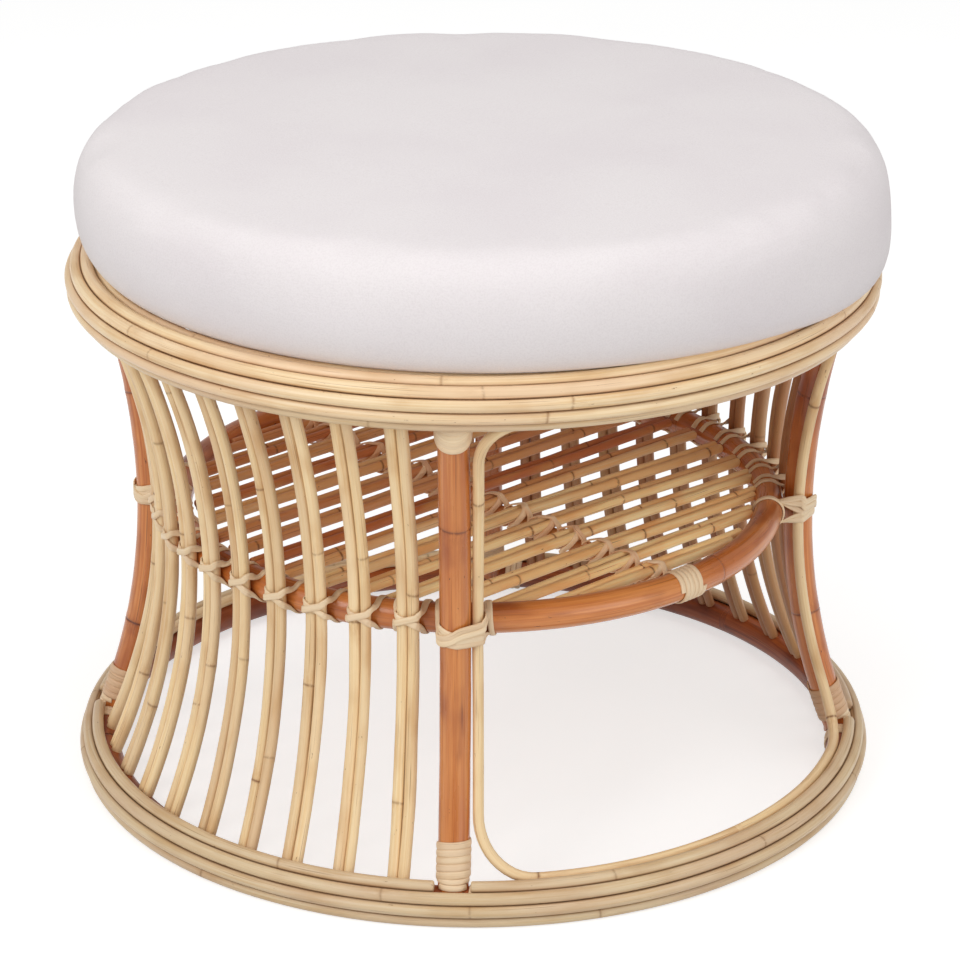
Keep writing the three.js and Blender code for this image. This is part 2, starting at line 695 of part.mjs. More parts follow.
function postBinding(azimuth, from, to, turns) {
  const steps = turns * turnSteps;
  const up = new THREE.Vector3(0, 0, 1);
  return Array.from({ length: steps + 1 }, (_, i) => {
    const along = THREE.MathUtils.lerp(from, to, i / steps);
    const low = postRadiusAt(along - stripWidth);
    const slope = (postRadiusAt(along + stripWidth) - low) / (2 * stripWidth);
    const axis = new THREE.Vector3(slope, 0, 1).normalize();
    const outward = new THREE.Vector3(1, 0, -slope).normalize();
    const sideways = axis.clone().cross(outward);
    const angle = (i / turnSteps) * 2 * Math.PI;
    const normal = outward.multiplyScalar(Math.cos(angle)).addScaledVector(sideways, Math.sin(angle));
    const centre = new THREE.Vector3(postRadiusAt(along), 0, along);
    const point = centre.addScaledVector(normal, closeTurn);
    return { point: point.applyAxisAngle(up, azimuth), normal: normal.applyAxisAngle(up, azimuth) };
  });
}

const footStart = baseHoopHeight + poleRadius + fitGap + footStripWidth / 2 + stripThickness;
const footEnd = footStart + footTurns * (footStripWidth + turnGap);
const headReach = wrapOrbit * -Math.sin(lowestTopCane + postLean) + wrapCaneRadius + fitGap;
const headStart = topHoopHeight - headReach - headStripWidth;
const headEnd = headStart - headTurns * (headStripWidth + turnGap);

postAzimuths.forEach((azimuth, i) => {
  const foot = postBinding(azimuth, footStart, footEnd, footTurns);
  const head = postBinding(azimuth, headEnd, headStart, headTurns);
  placeStrip(`foot_binding_${postNames[i]}`, 'foot binding', foot, footStripWidth);
  placeStrip(`head_binding_${postNames[i]}`, 'head binding', head, headStripWidth);
});

// The cushion: a foam disc in a sewn cover that is open underneath, both with a crowned top.
function cushionOutline(inset, openRadius) {
  const bottom = cushionSeat + inset;
  const top = cushionSeat + cushionHeight - cushionCrown - inset;
  const side = cushionRadius - inset;
  const topEdge = cushionTopEdge - inset;
  const baseEdge = cushionBaseEdge - inset;
  const points = [new THREE.Vector2(openRadius, bottom)];
  const addArc = (x, y, radius, from, to) => {
    for (let step = 0; step <= cushionEdgeSteps; step += 1) {
      const angle = THREE.MathUtils.lerp(from, to, step / cushionEdgeSteps);
      points.push(new THREE.Vector2(x + radius * Math.cos(angle), y + radius * Math.sin(angle)));
    }
  };
  addArc(side - cushionBulge - baseEdge, bottom + baseEdge, baseEdge, -quarterTurn, 0);
  points.push(new THREE.Vector2(side, (bottom + top) / 2));
  addArc(side - cushionBulge - topEdge, top - topEdge, topEdge, 0, quarterTurn);
  for (const share of crownShares) {
    const rise = cushionCrown * (1 - share ** 2);
    points.push(new THREE.Vector2(share * (side - topEdge), top + rise));
  }
  return points;
}

const coverInside = cushionOutline(coverThickness, coverOpeningRadius).reverse();
const coverProfile = [...coverInside, ...cushionOutline(0, coverOpeningRadius)];
place('cushion_cover', revolve(coverProfile), coverCloth);

const foamInset = coverThickness + fitGap;
const foamOutline = cushionOutline(foamInset, coverOpeningRadius);
const foamProfile = [new THREE.Vector2(0, cushionSeat + foamInset), ...foamOutline];
place('cushion_foam', revolve(foamProfile), cushionFoam);

for (const [kind, gap] of Object.entries(windingGaps)) {
  console.log(`least gap of the ${kind} to itself: ${gap.toFixed(2)} mm`);
}

export default stool;
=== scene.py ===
import math

import bpy
import numpy as np
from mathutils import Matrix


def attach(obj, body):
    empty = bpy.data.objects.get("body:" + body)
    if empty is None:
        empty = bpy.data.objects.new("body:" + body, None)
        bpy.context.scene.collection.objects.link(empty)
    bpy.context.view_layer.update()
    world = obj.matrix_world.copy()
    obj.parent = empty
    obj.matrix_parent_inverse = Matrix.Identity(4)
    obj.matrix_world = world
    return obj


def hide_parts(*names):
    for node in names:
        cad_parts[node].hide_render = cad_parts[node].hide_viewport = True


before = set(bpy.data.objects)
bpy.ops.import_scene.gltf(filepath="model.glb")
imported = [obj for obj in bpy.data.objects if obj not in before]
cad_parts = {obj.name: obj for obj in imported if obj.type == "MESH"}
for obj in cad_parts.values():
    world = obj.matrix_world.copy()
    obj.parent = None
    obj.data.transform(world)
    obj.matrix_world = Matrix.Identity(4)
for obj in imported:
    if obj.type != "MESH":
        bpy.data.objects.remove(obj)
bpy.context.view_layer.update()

# Lengths are in millimetres, and are turned to metres where a mesh is made or a piece is set.
# Only the target, the lamps and the camera's distance are in metres.
MM = 0.001

# The three hoops: plan radius and height
TOP_HOOP = (242.81, 335.5)
BASE_HOOP = (246.6, 10.76)
SHELF_HOOP = (193.5, 176.5)
SHELF_LEVEL = SHELF_HOOP[1]
POLE_RADIUS = 9.5

# Sides of the poles and of the rings' canes, more than of any other cane
FINE_SIDES = 20

# The canes that lie round the top and base hoop, by their angle about the hoop
WRAP_RADIUS = 3.74
WRAP_ORBIT = 13.6
WRAP_PITCH = 33.77
TOP_CANE_START = 77.6
BASE_CANE_START = 68.0
INNER_CANE_ANGLE = 111.4
# Tones of the top ring's canes from the highest down. The two highest are painted lighter, as painted
# light against the cushion's shadow on them, and the lowest is darker, partly as painted shade.
TOP_CANE_TONES_AND_LIGHT = (1.0, 0.8, 0.2, 0.4, -1.2)
# The base ring's canes are darker, partly their own greyer brown and partly painted shade
BASE_CANE_TONE_AND_SHADE = -1.8
WRAP_JOINT_SPACING = 330
FOOT_GAP = 11.2

# Posts, spindles and arches. Bows are how far an upright is out at the top hoop and the base hoop.
POST_WAIST = 212.8
POST_BOWS = (27.1, 33.8)
POST_ENDS = (16.3, 329.8)
POST_NAMES = ("right_back", "left_back", "left_front", "right_front")
POST_AZIMUTHS = (45.0, 135.0, 225.0, 315.0)
OPEN_SIDES = (1, -1, 1, -1)
SPINDLE_WAIST = 206.6
SPINDLE_BOWS = (36.21, 40.0)
SPINDLE_ENDS = (18.6, 327.6)
SPINDLE_RADIUS = 3.3
SPINDLE_PAIRS = 10
SPINDLE_STEP = 90.0 / (SPINDLE_PAIRS + 1)
# Tone ranges of the left and the right panel's spindles. The right panel's low tones are painted shade,
# with a painted warm reflection from the wood around them.
SPINDLE_TONES_AND_SHADE = ((0.05, 1.0), (-0.9, -0.3))
ARCH_RADIUS = 3.5
ARCH_TOP = (242.74, 322.2)
ARCH_BASE = (244.1, 23.82)
ARCH_TOP_CORNER = 30.0
ARCH_BASE_CORNER = 38.0
ARCH_WAIST_AWAY = 13.3
ARCH_CORNER_AWAY = 14.7

# Decks
SLAT_RADIUS = 3.1
SLAT_OFFSET = 3.12
SHELF_PITCH = 24.4
SHELF_HEIGHT = 179.5
SEAT_PAIRS = 13
SEAT_PITCH = 34.0
SEAT_HEIGHT = 338.5
SEAT_REACH = 232.5
SEAT_BEARER_REACH = 232.0
SHELF_BEARER_REACH = 183.0
BEARER_RADIUS = 5.0
BEARER_DROP = 7.5

# A slat of the shelf stops short of the strips that lie round the hoop on the left and right, and
# reaches further where there are none
SLAT_REACH_AT_STRIPS = 182.2
SLAT_REACH_AT_HOOP = 183.8
STRIPS_FROM = 109.4

# The shelf's pairs from front to back: how far each lies from its even place, how much its right
# half runs off, and its tone from reddish brown below zero to golden above it. The tones fall towards
# the back partly by the slats' own colour and partly as painted shade inside the stool.
PAIR_SHIFTS = (2.8, 0.9, 0.0, 1.4, 2.4, 2.4, 4.0, 2.6, 4.0, 3.6, 4.0, 2.6, 2.6, 0.0, -2.0)
PAIR_SLANTS = (-0.01, 0.0, -0.03, -0.045, -0.05, -0.04, -0.02, 0, 0, 0.01, 0, 0, 0, 0, 0)
PAIR_TONES_AND_SHADE = (0.8, 0.7, 0.6, 0.5, 0.2, 0.1, -0.35, -0.95, -0.3, -0.4, -0.2, -0.5, -0.3, -0.5, -0.6)

# Binding strip. A lift is how far it is clear of what it is wound on.
STRIP_WIDTH = 3.7
STRIP_THICKNESS = 1.1
STRIP_LIFT = 0.15
OUTER_STRIP_LIFT = 0.2
BASE_STRIP_WIDTH = 3.9
BASE_STRIP_TURNS = 3
BASE_STRIP_START = 11.0
NAIL_RADIUS = 0.95
NAIL_RISE = 0.6
NAIL_HEIGHT = 314.3
NAIL_ANGLE = -12.0

Z_AXIS = np.array([0.0, 0.0, 1.0])


def polar(radius, azimuth, height):
    """Points from plan radius, azimuth in degrees and height."""
    radius, turned, height = np.broadcast_arrays(radius, np.radians(azimuth), height)
    return np.stack([radius * np.cos(turned), radius * np.sin(turned), height], -1)


def unit(vectors):
    length = np.linalg.norm(vectors, axis=-1, keepdims=True)
    return vectors / np.maximum(length, 1e-9)


def outward(points):
    """Level direction from the Z axis to each point."""
    flat = np.array(points, float)
    flat[..., 2] = 0
    return unit(flat)


def wander(along, rng, length, size):
    """A smooth random wave along a strand."""
    total = np.zeros_like(along)
    for share in (1.0, 0.47, 0.23):
        phase = rng.uniform(0, 2 * math.pi)
        wave = length * share * rng.uniform(0.8, 1.25)
        total += share * np.sin(2 * math.pi * along / wave + phase)
    return total * size / 1.7


def smooth_route(points, per):
    """A smooth curve through control points, per samples for each span."""
    points = np.asarray(points, float)
    last = len(points) - 1
    t = (np.arange(per) / per)[:, None]
    found = []
    for i in range(last):
        a, b, c, d = points[max(i - 1, 0)], points[i], points[i + 1], points[min(i + 2, last)]
        found.append(0.5 * (2 * b + (c - a) * t + (2 * a - 5 * b + 4 * c - d) * t ** 2
                            + (3 * b - a - 3 * c + d) * t ** 3))
    found.append(points[-1:])
    return np.concatenate(found)


def stacked(shape, *values):
    """Values for each point of a strand, gathered in one array."""
    return np.stack([np.broadcast_to(value, shape) for value in values], -1)


def placed(name, data):
    """A new object in the scene."""
    made = bpy.data.objects.new(name, data)
    bpy.context.collection.objects.link(made)
    return made


def new_mesh(name, points, faces):
    mesh = bpy.data.meshes.new(name)
    mesh.from_pydata((points * MM).tolist(), [], faces)
    return mesh


def smoothed(mesh):
    mesh.polygons.foreach_set("use_smooth", [True] * len(mesh.polygons))


class Strands:
    """Tubes and strips of one finish, gathered for one mesh, with their own random numbers. Every
    vertex keeps where it lies on its own strand, so that grain runs along it, and how strongly a
    joint of the cane marks it."""

    def __init__(self, seed):
        self.rng = np.random.default_rng(seed)
        self.points, self.lay, self.marks, self.seams, self.faces = [], [], [], [], []
        self.count = 0

    def add(self, rings, lay, marks, closed, seam=None):
        spans, sides = rings.shape[:2]
        steps = spans if closed else spans - 1
        start = self.count
        i = np.arange(steps)[:, None]
        j = np.arange(sides)[None, :]
        onward, beside = (i + 1) % spans, (j + 1) % sides
        quads = np.stack([i * sides + j, i * sides + beside,
                          onward * sides + beside, onward * sides + j], -1) + start
        self.faces.extend(quads.reshape(-1, 4).tolist())
        if not closed:
            self.faces.append((start + np.arange(sides)[::-1]).tolist())
            self.faces.append((start + (spans - 1) * sides + np.arange(sides)).tolist())
        self.points.append(rings.reshape(-1, 3))
        self.lay.append(lay.reshape(-1, 3))
        self.marks.append(marks.reshape(-1, 3))
        self.seams.append(np.zeros(spans * sides) if seam is None else seam.ravel())
        self.count += spans * sides

    def make(self, name, finish, nodes=()):
        material, slot = finish
        mesh = new_mesh(name, np.concatenate(self.points), self.faces)
        for label, values in (("lay", self.lay), ("marks", self.marks)):
            layer = mesh.attributes.new(label, "FLOAT_VECTOR", "POINT")
            scale = MM if label == "lay" else 1.0
            flat = (np.concatenate(values) * scale).astype(np.float32).ravel()
            layer.data.foreach_set("vector", flat)
        # Painted shade: how much each point is darkened where its cane lies against a neighbour
        layer = mesh.attributes.new("seam", "FLOAT", "POINT")
        layer.data.foreach_set("value", np.concatenate(self.seams).astype(np.float32))
        smoothed(mesh)
        mesh.set_sharp_from_angle(angle=math.radians(50))
        mesh.materials.append(material)
        piece = placed(name, mesh)
        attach(piece, "frame")
        if nodes:
            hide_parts(*nodes)


def spread(kept, along, values):
    """Values at some distances, from those at the path's own distances."""
    return np.stack([np.interp(kept, along, values[:, axis]) for axis in range(3)], -1)


def measured(points):
    """Distance along a path at each of its points."""
    return np.concatenate([[0.0], np.cumsum(np.linalg.norm(np.diff(points, axis=0), axis=1))])


def stations(path, step, spots, closed):
    """Distances along a path, the places there and the path's own distances: even steps, with
    more of them round each cane joint and at the ends."""
    along = measured(path)
    total = along[-1]
    wanted = list(np.linspace(0, total, max(int(total / step), 4) + 1))
    for spot in spots:
        wanted += [spot + d for d in (-5, -3, -1.8, -1.1, -0.6, -0.2, 0.2, 0.6, 1.1, 1.8, 3, 5)]
    if not closed:
        wanted += [0.25, 0.7, 1.3, total - 0.25, total - 0.7, total - 1.3]
    wanted = np.unique(np.clip(np.array(wanted), 0, total))
    kept = [wanted[0]]
    for value in wanted[1:]:
        if value - kept[-1] > 0.15:
            kept.append(value)
    kept = np.array(kept)
    if closed:
        kept = kept[kept < total - 0.2]
    else:
        kept[-1] = total
    return kept, spread(kept, along, path), along


def cane(strands, path, radius, closed=False, step=5.0, sides=14, joints=(), swell=0.07,
         uneven=0.012, drift=0.0, tone=None, facing=None, ends=True, shape=None, dark=1.0, touch=(),
         tilt=None):
    """A round strand along a path of close points. joints are distances along it, touch holds the
    angles round it at which it lies against a neighbour and is painted with crevice shade, and tilt
    turns its face up from level.
    A closed one wanders a little, by drift. dark is how strong its joints' marks are."""
    rng = strands.rng
    if closed:
        path = np.concatenate([path, path[:1]])
    kept, centre, along = stations(path, step, joints, closed)
    total = along[-1]
    tangent_at = unit(np.gradient(path, axis=0))
    if closed:
        tangent_at[0] = tangent_at[-1] = unit(path[1] - path[-2])
    tangent = unit(spread(kept, along, tangent_at))
    face = outward(centre) if facing is None else np.broadcast_to(facing, centre.shape)
    if tilt is not None:
        face = face * math.cos(math.radians(tilt)) + Z_AXIS * math.sin(math.radians(tilt))
    side = unit(np.cross(tangent, face))
    face = np.cross(side, tangent)
    if drift:
        centre = centre + side * closed_wander(kept, rng, total, drift)[:, None]
    around = np.linspace(0, 2 * math.pi, sides, endpoint=False)
    waver = wander(kept, rng, 70, uneven)
    if closed:
        waver = closed_wander(kept, rng, total, uneven)
    oval = 1 + 0.012 * np.cos(2 * (around - rng.uniform(0, math.pi)))
    width = (1 + waver)[:, None] * oval[None, :]
    ring, stain = np.zeros((2, len(kept), sides))
    for spot in joints:
        slant = 0.5 * np.cos(around - rng.uniform(0, 6.3))
        away = kept[:, None] - spot - slant[None, :]
        strength = rng.uniform(0.55, 1.0)
        width = width + swell * strength * np.exp(-np.abs(away / 3.2) ** 1.6)
        width = width - 0.035 * strength * np.exp(-(away / 0.5) ** 2)
        ring = np.maximum(ring, strength * np.exp(-(away / 0.75) ** 2))
        heading = rng.choice([-1, 1])
        reach = np.where(away * heading > 0, 9.0, 2.5)
        stain = np.maximum(stain, strength * np.exp(-np.abs(away) / reach))
    if ends and not closed:
        near = np.minimum(kept, total - kept)
        width = width * np.interp(near, [0, 0.25, 0.7, 1.3], [0.72, 0.87, 0.97, 1.0])[:, None]
    # Painted shade in the crevice, darker round the angles where the cane lies against a neighbour
    seam = np.zeros(sides)
    for angle in touch:
        apart = np.abs((np.degrees(around) - angle + 180) % 360 - 180)
        seam = np.maximum(seam, np.exp(-(apart / 12) ** 2))
        width = width * (1 + 0.05 * np.exp(-(apart / 35) ** 2))[None, :]
    across = radius * width * np.cos(around)
    over = radius * width * np.sin(around)
    rings = centre[:, None, :] + across[..., None] * face[:, None, :] + over[..., None] * side[:, None, :]
    if shape is not None:
        rings = shape(rings)
    start = rng.uniform(0, 5000)
    lay = stacked(across.shape, radius * np.cos(around), radius * np.sin(around), (kept + start)[:, None])
    tone = rng.uniform(-1, 1) if tone is None else tone
    marks = stacked(across.shape, ring * dark, stain * dark, tone)
    strands.add(rings, lay, marks, closed, np.broadcast_to(seam, across.shape))


def closed_wander(along, rng, total, size):
    """A smooth random wave that meets itself round a ring."""
    value = np.zeros_like(along)
    for count in (3, 5, 9, 14, 22):
        value += np.sin(2 * math.pi * count * along / total + rng.uniform(0, 6.3)) / count ** 0.5
    return value * size / 2


def strip(strands, route, normals, width=STRIP_WIDTH, per=5, tone=None):
    """A split cane strip: flat inside, rounded outside, its face turned to the normals."""
    rng = strands.rng
    points = smooth_route(route, per)
    faces = unit(smooth_route(normals, per))
    before, after = np.roll(points, 1, 0), np.roll(points, -1, 0)
    before[0], after[-1] = points[0], points[-1]
    tangent = unit(after - before)
    side = unit(np.cross(tangent, faces))
    face = np.cross(side, tangent)
    outline = np.array([(-0.5, -0.45), (-0.5, 0.0), (-0.42, 0.3), (-0.22, 0.47), (0.0, 0.52),
                        (0.22, 0.47), (0.42, 0.3), (0.5, 0.0), (0.5, -0.45)])
    across = outline[:, 0] * width
    out = outline[:, 1] * STRIP_THICKNESS
    along = measured(points)
    waver = 1 + wander(along, rng, 30, 0.05)
    rings = (points[:, None, :] + (across[None, :] * waver[:, None])[..., None] * side[:, None, :]
             + out[None, :, None] * face[:, None, :])
    shape = rings.shape[:2]
    start = rng.uniform(0, 5000)
    lay = stacked(shape, across, out, (along + start)[:, None])
    tone = rng.uniform(0.4, 1.0) if tone is None else tone
    edge = 0.5 * (np.abs(outline[:, 0]) > 0.45)
    strands.add(rings, lay, stacked(shape, 0.0, edge, tone), False)


def joint_places(total, rng, spacing):
    """Distances of a cane's joints along it."""
    place = rng.uniform(0.15, 0.9) * spacing
    found = []
    while place < total - 8:
        if place > 8:
            found.append(place)
        place += spacing * rng.uniform(0.72, 1.3)
    return found


# Materials
def new_material(name):
    material = bpy.data.materials.new(name)
    material.use_nodes = True
    material.node_tree.nodes.clear()
    return material, material.node_tree


def fill(tree, sockets, values):
    """Link each socket to another node's output, or set it."""
    for socket, value in zip(sockets, values):
        if isinstance(value, bpy.types.NodeSocket):
            tree.links.new(value, socket)
        else:
            socket.default_value = value


def node(tree, kind, inputs=None, **settings):
    made = tree.nodes.new(kind)
    for key, value in settings.items():
        setattr(made, key, value)
    for key, value in (inputs or {}).items():
        fill(tree, [made.inputs[key]], [value])
    return made


def shown(tree, shader, kind="ShaderNodeOutputMaterial"):
    """The tree's output shows this shader."""
    tree.links.new(shader.outputs[0], tree.nodes.new(kind).inputs[0])


def linear(red, green, blue):
    """A colour as it looks on screen, in the values that a shader needs."""
    def convert(value):
        value = value / 255
        return value / 12.92 if value <= 0.04045 else ((value + 0.055) / 1.055) ** 2.4
    return (convert(red), convert(green), convert(blue), 1.0)


def mix(tree, factor, a, b):
    made = node(tree, "ShaderNodeMix", data_type="RGBA", clamp_factor=True)
    fill(tree, (made.inputs["Factor"], made.inputs[6], made.inputs[7]), (factor, a, b))
    return made.outputs[2]


def maths(tree, operation, a, b, clamp=False):
    made = node(tree, "ShaderNodeMath", operation=operation, use_clamp=clamp)
    fill(tree, made.inputs, (a, b))
    return made.outputs[0]


def times(tree, *values):
    product = values[0]
    for value in values[1:]:
        product = maths(tree, "MULTIPLY", product, value)
    return product


def noise(tree, vector, stretch, detail, rough=0.55):
    """Noise with so many cells a metre, across and along a strand."""
    cells = (stretch[0], stretch[0], stretch[1])
    scaled = node(tree, "ShaderNodeVectorMath", {0: vector, 1: cells}, operation="MULTIPLY")
    return node(tree, "ShaderNodeTexNoise",
                {"Vector": scaled.outputs[0], "Scale": 1.0, "Detail": detail, "Roughness": rough}
                ).outputs[0]


def window(tree, value, low, high, to_low=0.0, to_high=1.0):
    """A smooth step between two levels of a value."""
    return node(tree, "ShaderNodeMapRange",
                {"Value": value, "From Min": low, "From Max": high, "To Min": to_low, "To Max": to_high},
                interpolation_type="SMOOTHSTEP").outputs[0]


def cane_finish(name, slot, skin, blush, rough, speck, fine, blotch, coat=0.0, tone_span=0.1,
                bump=0.12, grain=1.0, aged_and_shaded=None, crevice_shade_level=0.9):
    """Cane or pole skin and its slot, in four colours from light to brown. Fine streaks run along
    it, patches and dark specks vary it, and it turns to blush in broad drifts and to a darker aged colour
    where its tone is low, which on some parts is painted shade. Its joints are stained brown, and it is
    painted darker where it lies against its neighbour, as painted shade in the crevice between them."""
    material, tree = new_material(name)
    light, mid, deep, brown = (linear(*colour) for colour in skin)
    lay = node(tree, "ShaderNodeAttribute", attribute_name="lay").outputs["Vector"]
    marks = node(tree, "ShaderNodeAttribute", attribute_name="marks").outputs["Vector"]
    seam = node(tree, "ShaderNodeAttribute", attribute_name="seam").outputs["Fac"]
    parts = node(tree, "ShaderNodeSeparateXYZ", {"Vector": marks}).outputs
    ring, stain, tone = parts[0], parts[1], parts[2]
    streaks = noise(tree, lay, (820.0 * grain, 9.0), 4.0, 0.65)
    bands = noise(tree, lay, (190.0 * grain, 12.0), 3.0, 0.6)
    patches = noise(tree, lay, (60.0, 22.0), 2.0, 0.5)
    drifts = noise(tree, lay, (12.0, 6.0), 2.0, 0.5)
    specks = noise(tree, lay, (460.0, 150.0), 3.0, 0.6)
    hairs = noise(tree, lay, (1500.0 * grain, 16.0), 2.0, 0.5)

    dark_hairs = times(tree, window(tree, hairs, 0.64, 0.73), 0.5 * fine)
    dark_specks = times(tree, window(tree, specks, 0.7, 0.76), speck)
    stained = times(tree, stain, window(tree, specks, 0.3, 0.62))
    ringed = times(tree, ring, window(tree, specks, 0.25, 0.5))
    # The last cover darkens the cane where it lies against a neighbour, as painted shade in the crevice
    covers = [(window(tree, streaks, 0.36, 0.68), mid),
              (window(tree, drifts, 0.4, 0.62, 0.0, 0.75), linear(*blush))]
    # Low tones turn to the aged colour: real ageing on some canes, and painted shade on the right panel's
    # spindles and towards the back of the shelf
    if aged_and_shaded:
        covers.append((window(tree, tone, 0.5, -0.9, 0.0, 0.9), linear(*aged_and_shaded)))
    covers += [(times(tree, window(tree, patches, 0.45, 0.75), blotch), deep),
               (times(tree, window(tree, bands, 0.56, 0.74), 0.4 * fine), deep),
               (dark_hairs, brown),
               (dark_specks, brown),
               (times(tree, stained, 0.75), deep),
               (times(tree, ringed, 0.95), brown),
               (times(tree, seam, window(tree, bands, 0.2, 0.6, 0.75, 1.0), crevice_shade_level), brown)]
    shade = light
    for cover, colour in covers:
        shade = mix(tree, cover, shade, colour)
    # The tone also lightens or darkens the whole colour; on the top and base rings, the right panel's
    # spindles and the shelf's back this is painted light and shade
    level = maths(tree, "ADD", times(tree, tone, tone_span), 1.0)
    adjusted = node(tree, "ShaderNodeHueSaturation", {"Value": level, "Color": shade})

    lifted = maths(tree, "ADD", times(tree, streaks, 0.55), times(tree, hairs, 0.3))
    dips = maths(tree, "ADD", times(tree, dark_specks, -0.5), times(tree, ringed, -0.6))
    height = maths(tree, "ADD", lifted, dips)
    relief = node(tree, "ShaderNodeBump", {"Strength": 1.0, "Distance": bump * MM * 2, "Height": height})
    gloss = window(tree, bands, 0.3, 0.7, rough - 0.07, rough + 0.1)
    gloss = maths(tree, "ADD", gloss, times(tree, stained, 0.15))
    shader = node(tree, "ShaderNodeBsdfPrincipled",
                  {"Base Color": adjusted.outputs[0], "Roughness": gloss, "Normal": relief.outputs[0],
                   "Coat Weight": coat, "Coat Roughness": 0.22, "Specular IOR Level": 0.45})
    shown(tree, shader)
    return material, slot


POLE = cane_finish(
    "lacquered_pole", "pole", ((226, 146, 78), (202, 116, 50), (154, 72, 26), (84, 34, 14)),
    (194, 106, 44), rough=0.3, speck=1.0, fine=0.9, blotch=0.85, coat=0.35, tone_span=0.05, grain=0.6,
    bump=0.16)
# The base hoop's pole is painted darker and redder than the others, as painted shade
BASE_POLE = cane_finish(
    "shaded_base_pole", "pole", ((186, 100, 46), (150, 66, 24), (106, 40, 12), (66, 24, 8)),
    (148, 74, 34), rough=0.42, speck=0.7, fine=1.0, blotch=0.8, coat=0.08, tone_span=0.05, grain=0.6,
    bump=0.16)
PALE = cane_finish(
    "pale_cane", "pale_cane", ((248, 224, 184), (238, 204, 154), (210, 164, 108), (134, 78, 38)),
    (236, 202, 166), rough=0.4, speck=0.6, fine=1.0, blotch=0.5, coat=0.15, crevice_shade_level=0.8)
# On the right panel's spindles the reddish low-tone colour is painted shade with a painted warm
# reflection
SPINDLE = cane_finish(
    "spindle_cane", "pale_cane", ((250, 224, 178), (240, 206, 152), (208, 160, 104), (122, 72, 38)),
    (236, 206, 164), rough=0.42, speck=0.7, fine=1.0, blotch=0.6, coat=0.1, aged_and_shaded=(180, 110, 64),
    crevice_shade_level=0.85)
# On the shelf the wide tone span and the reddish low-tone colour are painted shade towards the back; on
# the seat the tones vary at random
SLAT = cane_finish(
    "slat_cane", "slat_cane", ((255, 232, 178), (255, 214, 146), (236, 168, 98), (104, 44, 18)),
    (250, 200, 134), rough=0.46, speck=0.8, fine=1.1, blotch=0.8, tone_span=0.24, aged_and_shaded=(212, 104, 42))
# The shelf's lashing takes its pair's tone, so its reddish low-tone colour is painted shade towards the
# back too
LASHING = cane_finish(
    "lashing_strip", "binding", ((255, 232, 196), (254, 218, 174), (236, 184, 134), (136, 76, 42)),
    (250, 204, 160), rough=0.46, speck=0.4, fine=0.9, blotch=0.5, bump=0.1, aged_and_shaded=(222, 130, 80))
BINDING = cane_finish(
    "split_cane", "binding", ((243, 221, 186), (233, 205, 166), (212, 174, 128), (136, 86, 50)),
    (230, 201, 168), rough=0.46, speck=0.35, fine=0.9, blotch=0.4, bump=0.1, aged_and_shaded=(204, 134, 84))


# Rings
def orbit(hoop, angle):
    """Plan radius and height of a cane that lies round a hoop."""
    turned = math.radians(angle)
    return hoop[0] + WRAP_ORBIT * math.cos(turned), hoop[1] + WRAP_ORBIT * math.sin(turned)


def on_floor(rings):
    rings[..., 2] = np.maximum(rings[..., 2], 0.0)
    return rings


def ring_piece(name, place, radius, finish, seed, nodes, spacing, sides=FINE_SIDES, **extra):
    """A closed ring at a plan radius and height, with a joint about every spacing."""
    strands = Strands(seed)
    joints = joint_places(2 * math.pi * place[0], strands.rng, spacing)
    path = polar(place[0], np.arange(360), place[1])
    cane(strands, path, radius, closed=True, step=6.0, joints=joints, sides=sides, **extra)
    strands.make(name, finish, nodes)


for name, hoop, finish, seed, node_name, spacing, dark in (
        ("top_hoop_pole", TOP_HOOP, POLE, 1, "top_core_hoop", 260, 1.0),
        ("base_hoop_pole", BASE_HOOP, BASE_POLE, 2, "base_core_hoop", 260, 1.0),
        ("shelf_hoop_pole", SHELF_HOOP, POLE, 3, "shelf_hoop", 230, 0.55)):
    ring_piece(name, hoop, POLE_RADIUS, finish, seed, [node_name], spacing, swell=0.03, dark=dark)


def wrap(ring, hoop, start, i, last, tone, seed, **extra):
    """A cane of the top or base ring. All but the last lie between two neighbours."""
    angle = start - i * WRAP_PITCH
    ring_piece(f"{ring}_wrap_{i + 1}", orbit(hoop, angle), WRAP_RADIUS, PALE, seed + i,
               [f"{ring}_ring_cane_{i + 1}"], WRAP_JOINT_SPACING, swell=0.02, drift=0.12, dark=0.6,
               tilt=angle, touch=(-90, 90) if i < last else (-90,), tone=tone, **extra)


for i, tone in enumerate(TOP_CANE_TONES_AND_LIGHT):
    wrap("top", TOP_HOOP, TOP_CANE_START, i, 4, tone, 10)
ring_piece("top_wrap_inner", orbit(TOP_HOOP, INNER_CANE_ANGLE), WRAP_RADIUS, PALE, 16, [],
           WRAP_JOINT_SPACING, sides=14, swell=0.02, dark=0.6)
for i in range(1, 4):
    wrap("base", BASE_HOOP, BASE_CANE_START, i, 3, BASE_CANE_TONE_AND_SHADE, 20, shape=on_floor)

# The base ring's highest cane is cut short at each post
highest = orbit(BASE_HOOP, BASE_CANE_START)
clear = math.degrees(FOOT_GAP / highest[0])
for i, name in enumerate(("back", "left", "front", "right")):
    start = POST_AZIMUTHS[i] + clear
    path = polar(highest[0], np.linspace(start, start + 90 - 2 * clear, 120), highest[1])
    strands = Strands(30 + i)
    joints = joint_places(360, strands.rng, WRAP_JOINT_SPACING)
    cane(strands, path, WRAP_RADIUS, joints=joints, swell=0.02, dark=0.6, sides=FINE_SIDES,
         tone=BASE_CANE_TONE_AND_SHADE, tilt=BASE_CANE_START, touch=(90,))
    strands.make(f"base_wrap_1_{name}", PALE, [f"base_ring_cane_1_{name}"])


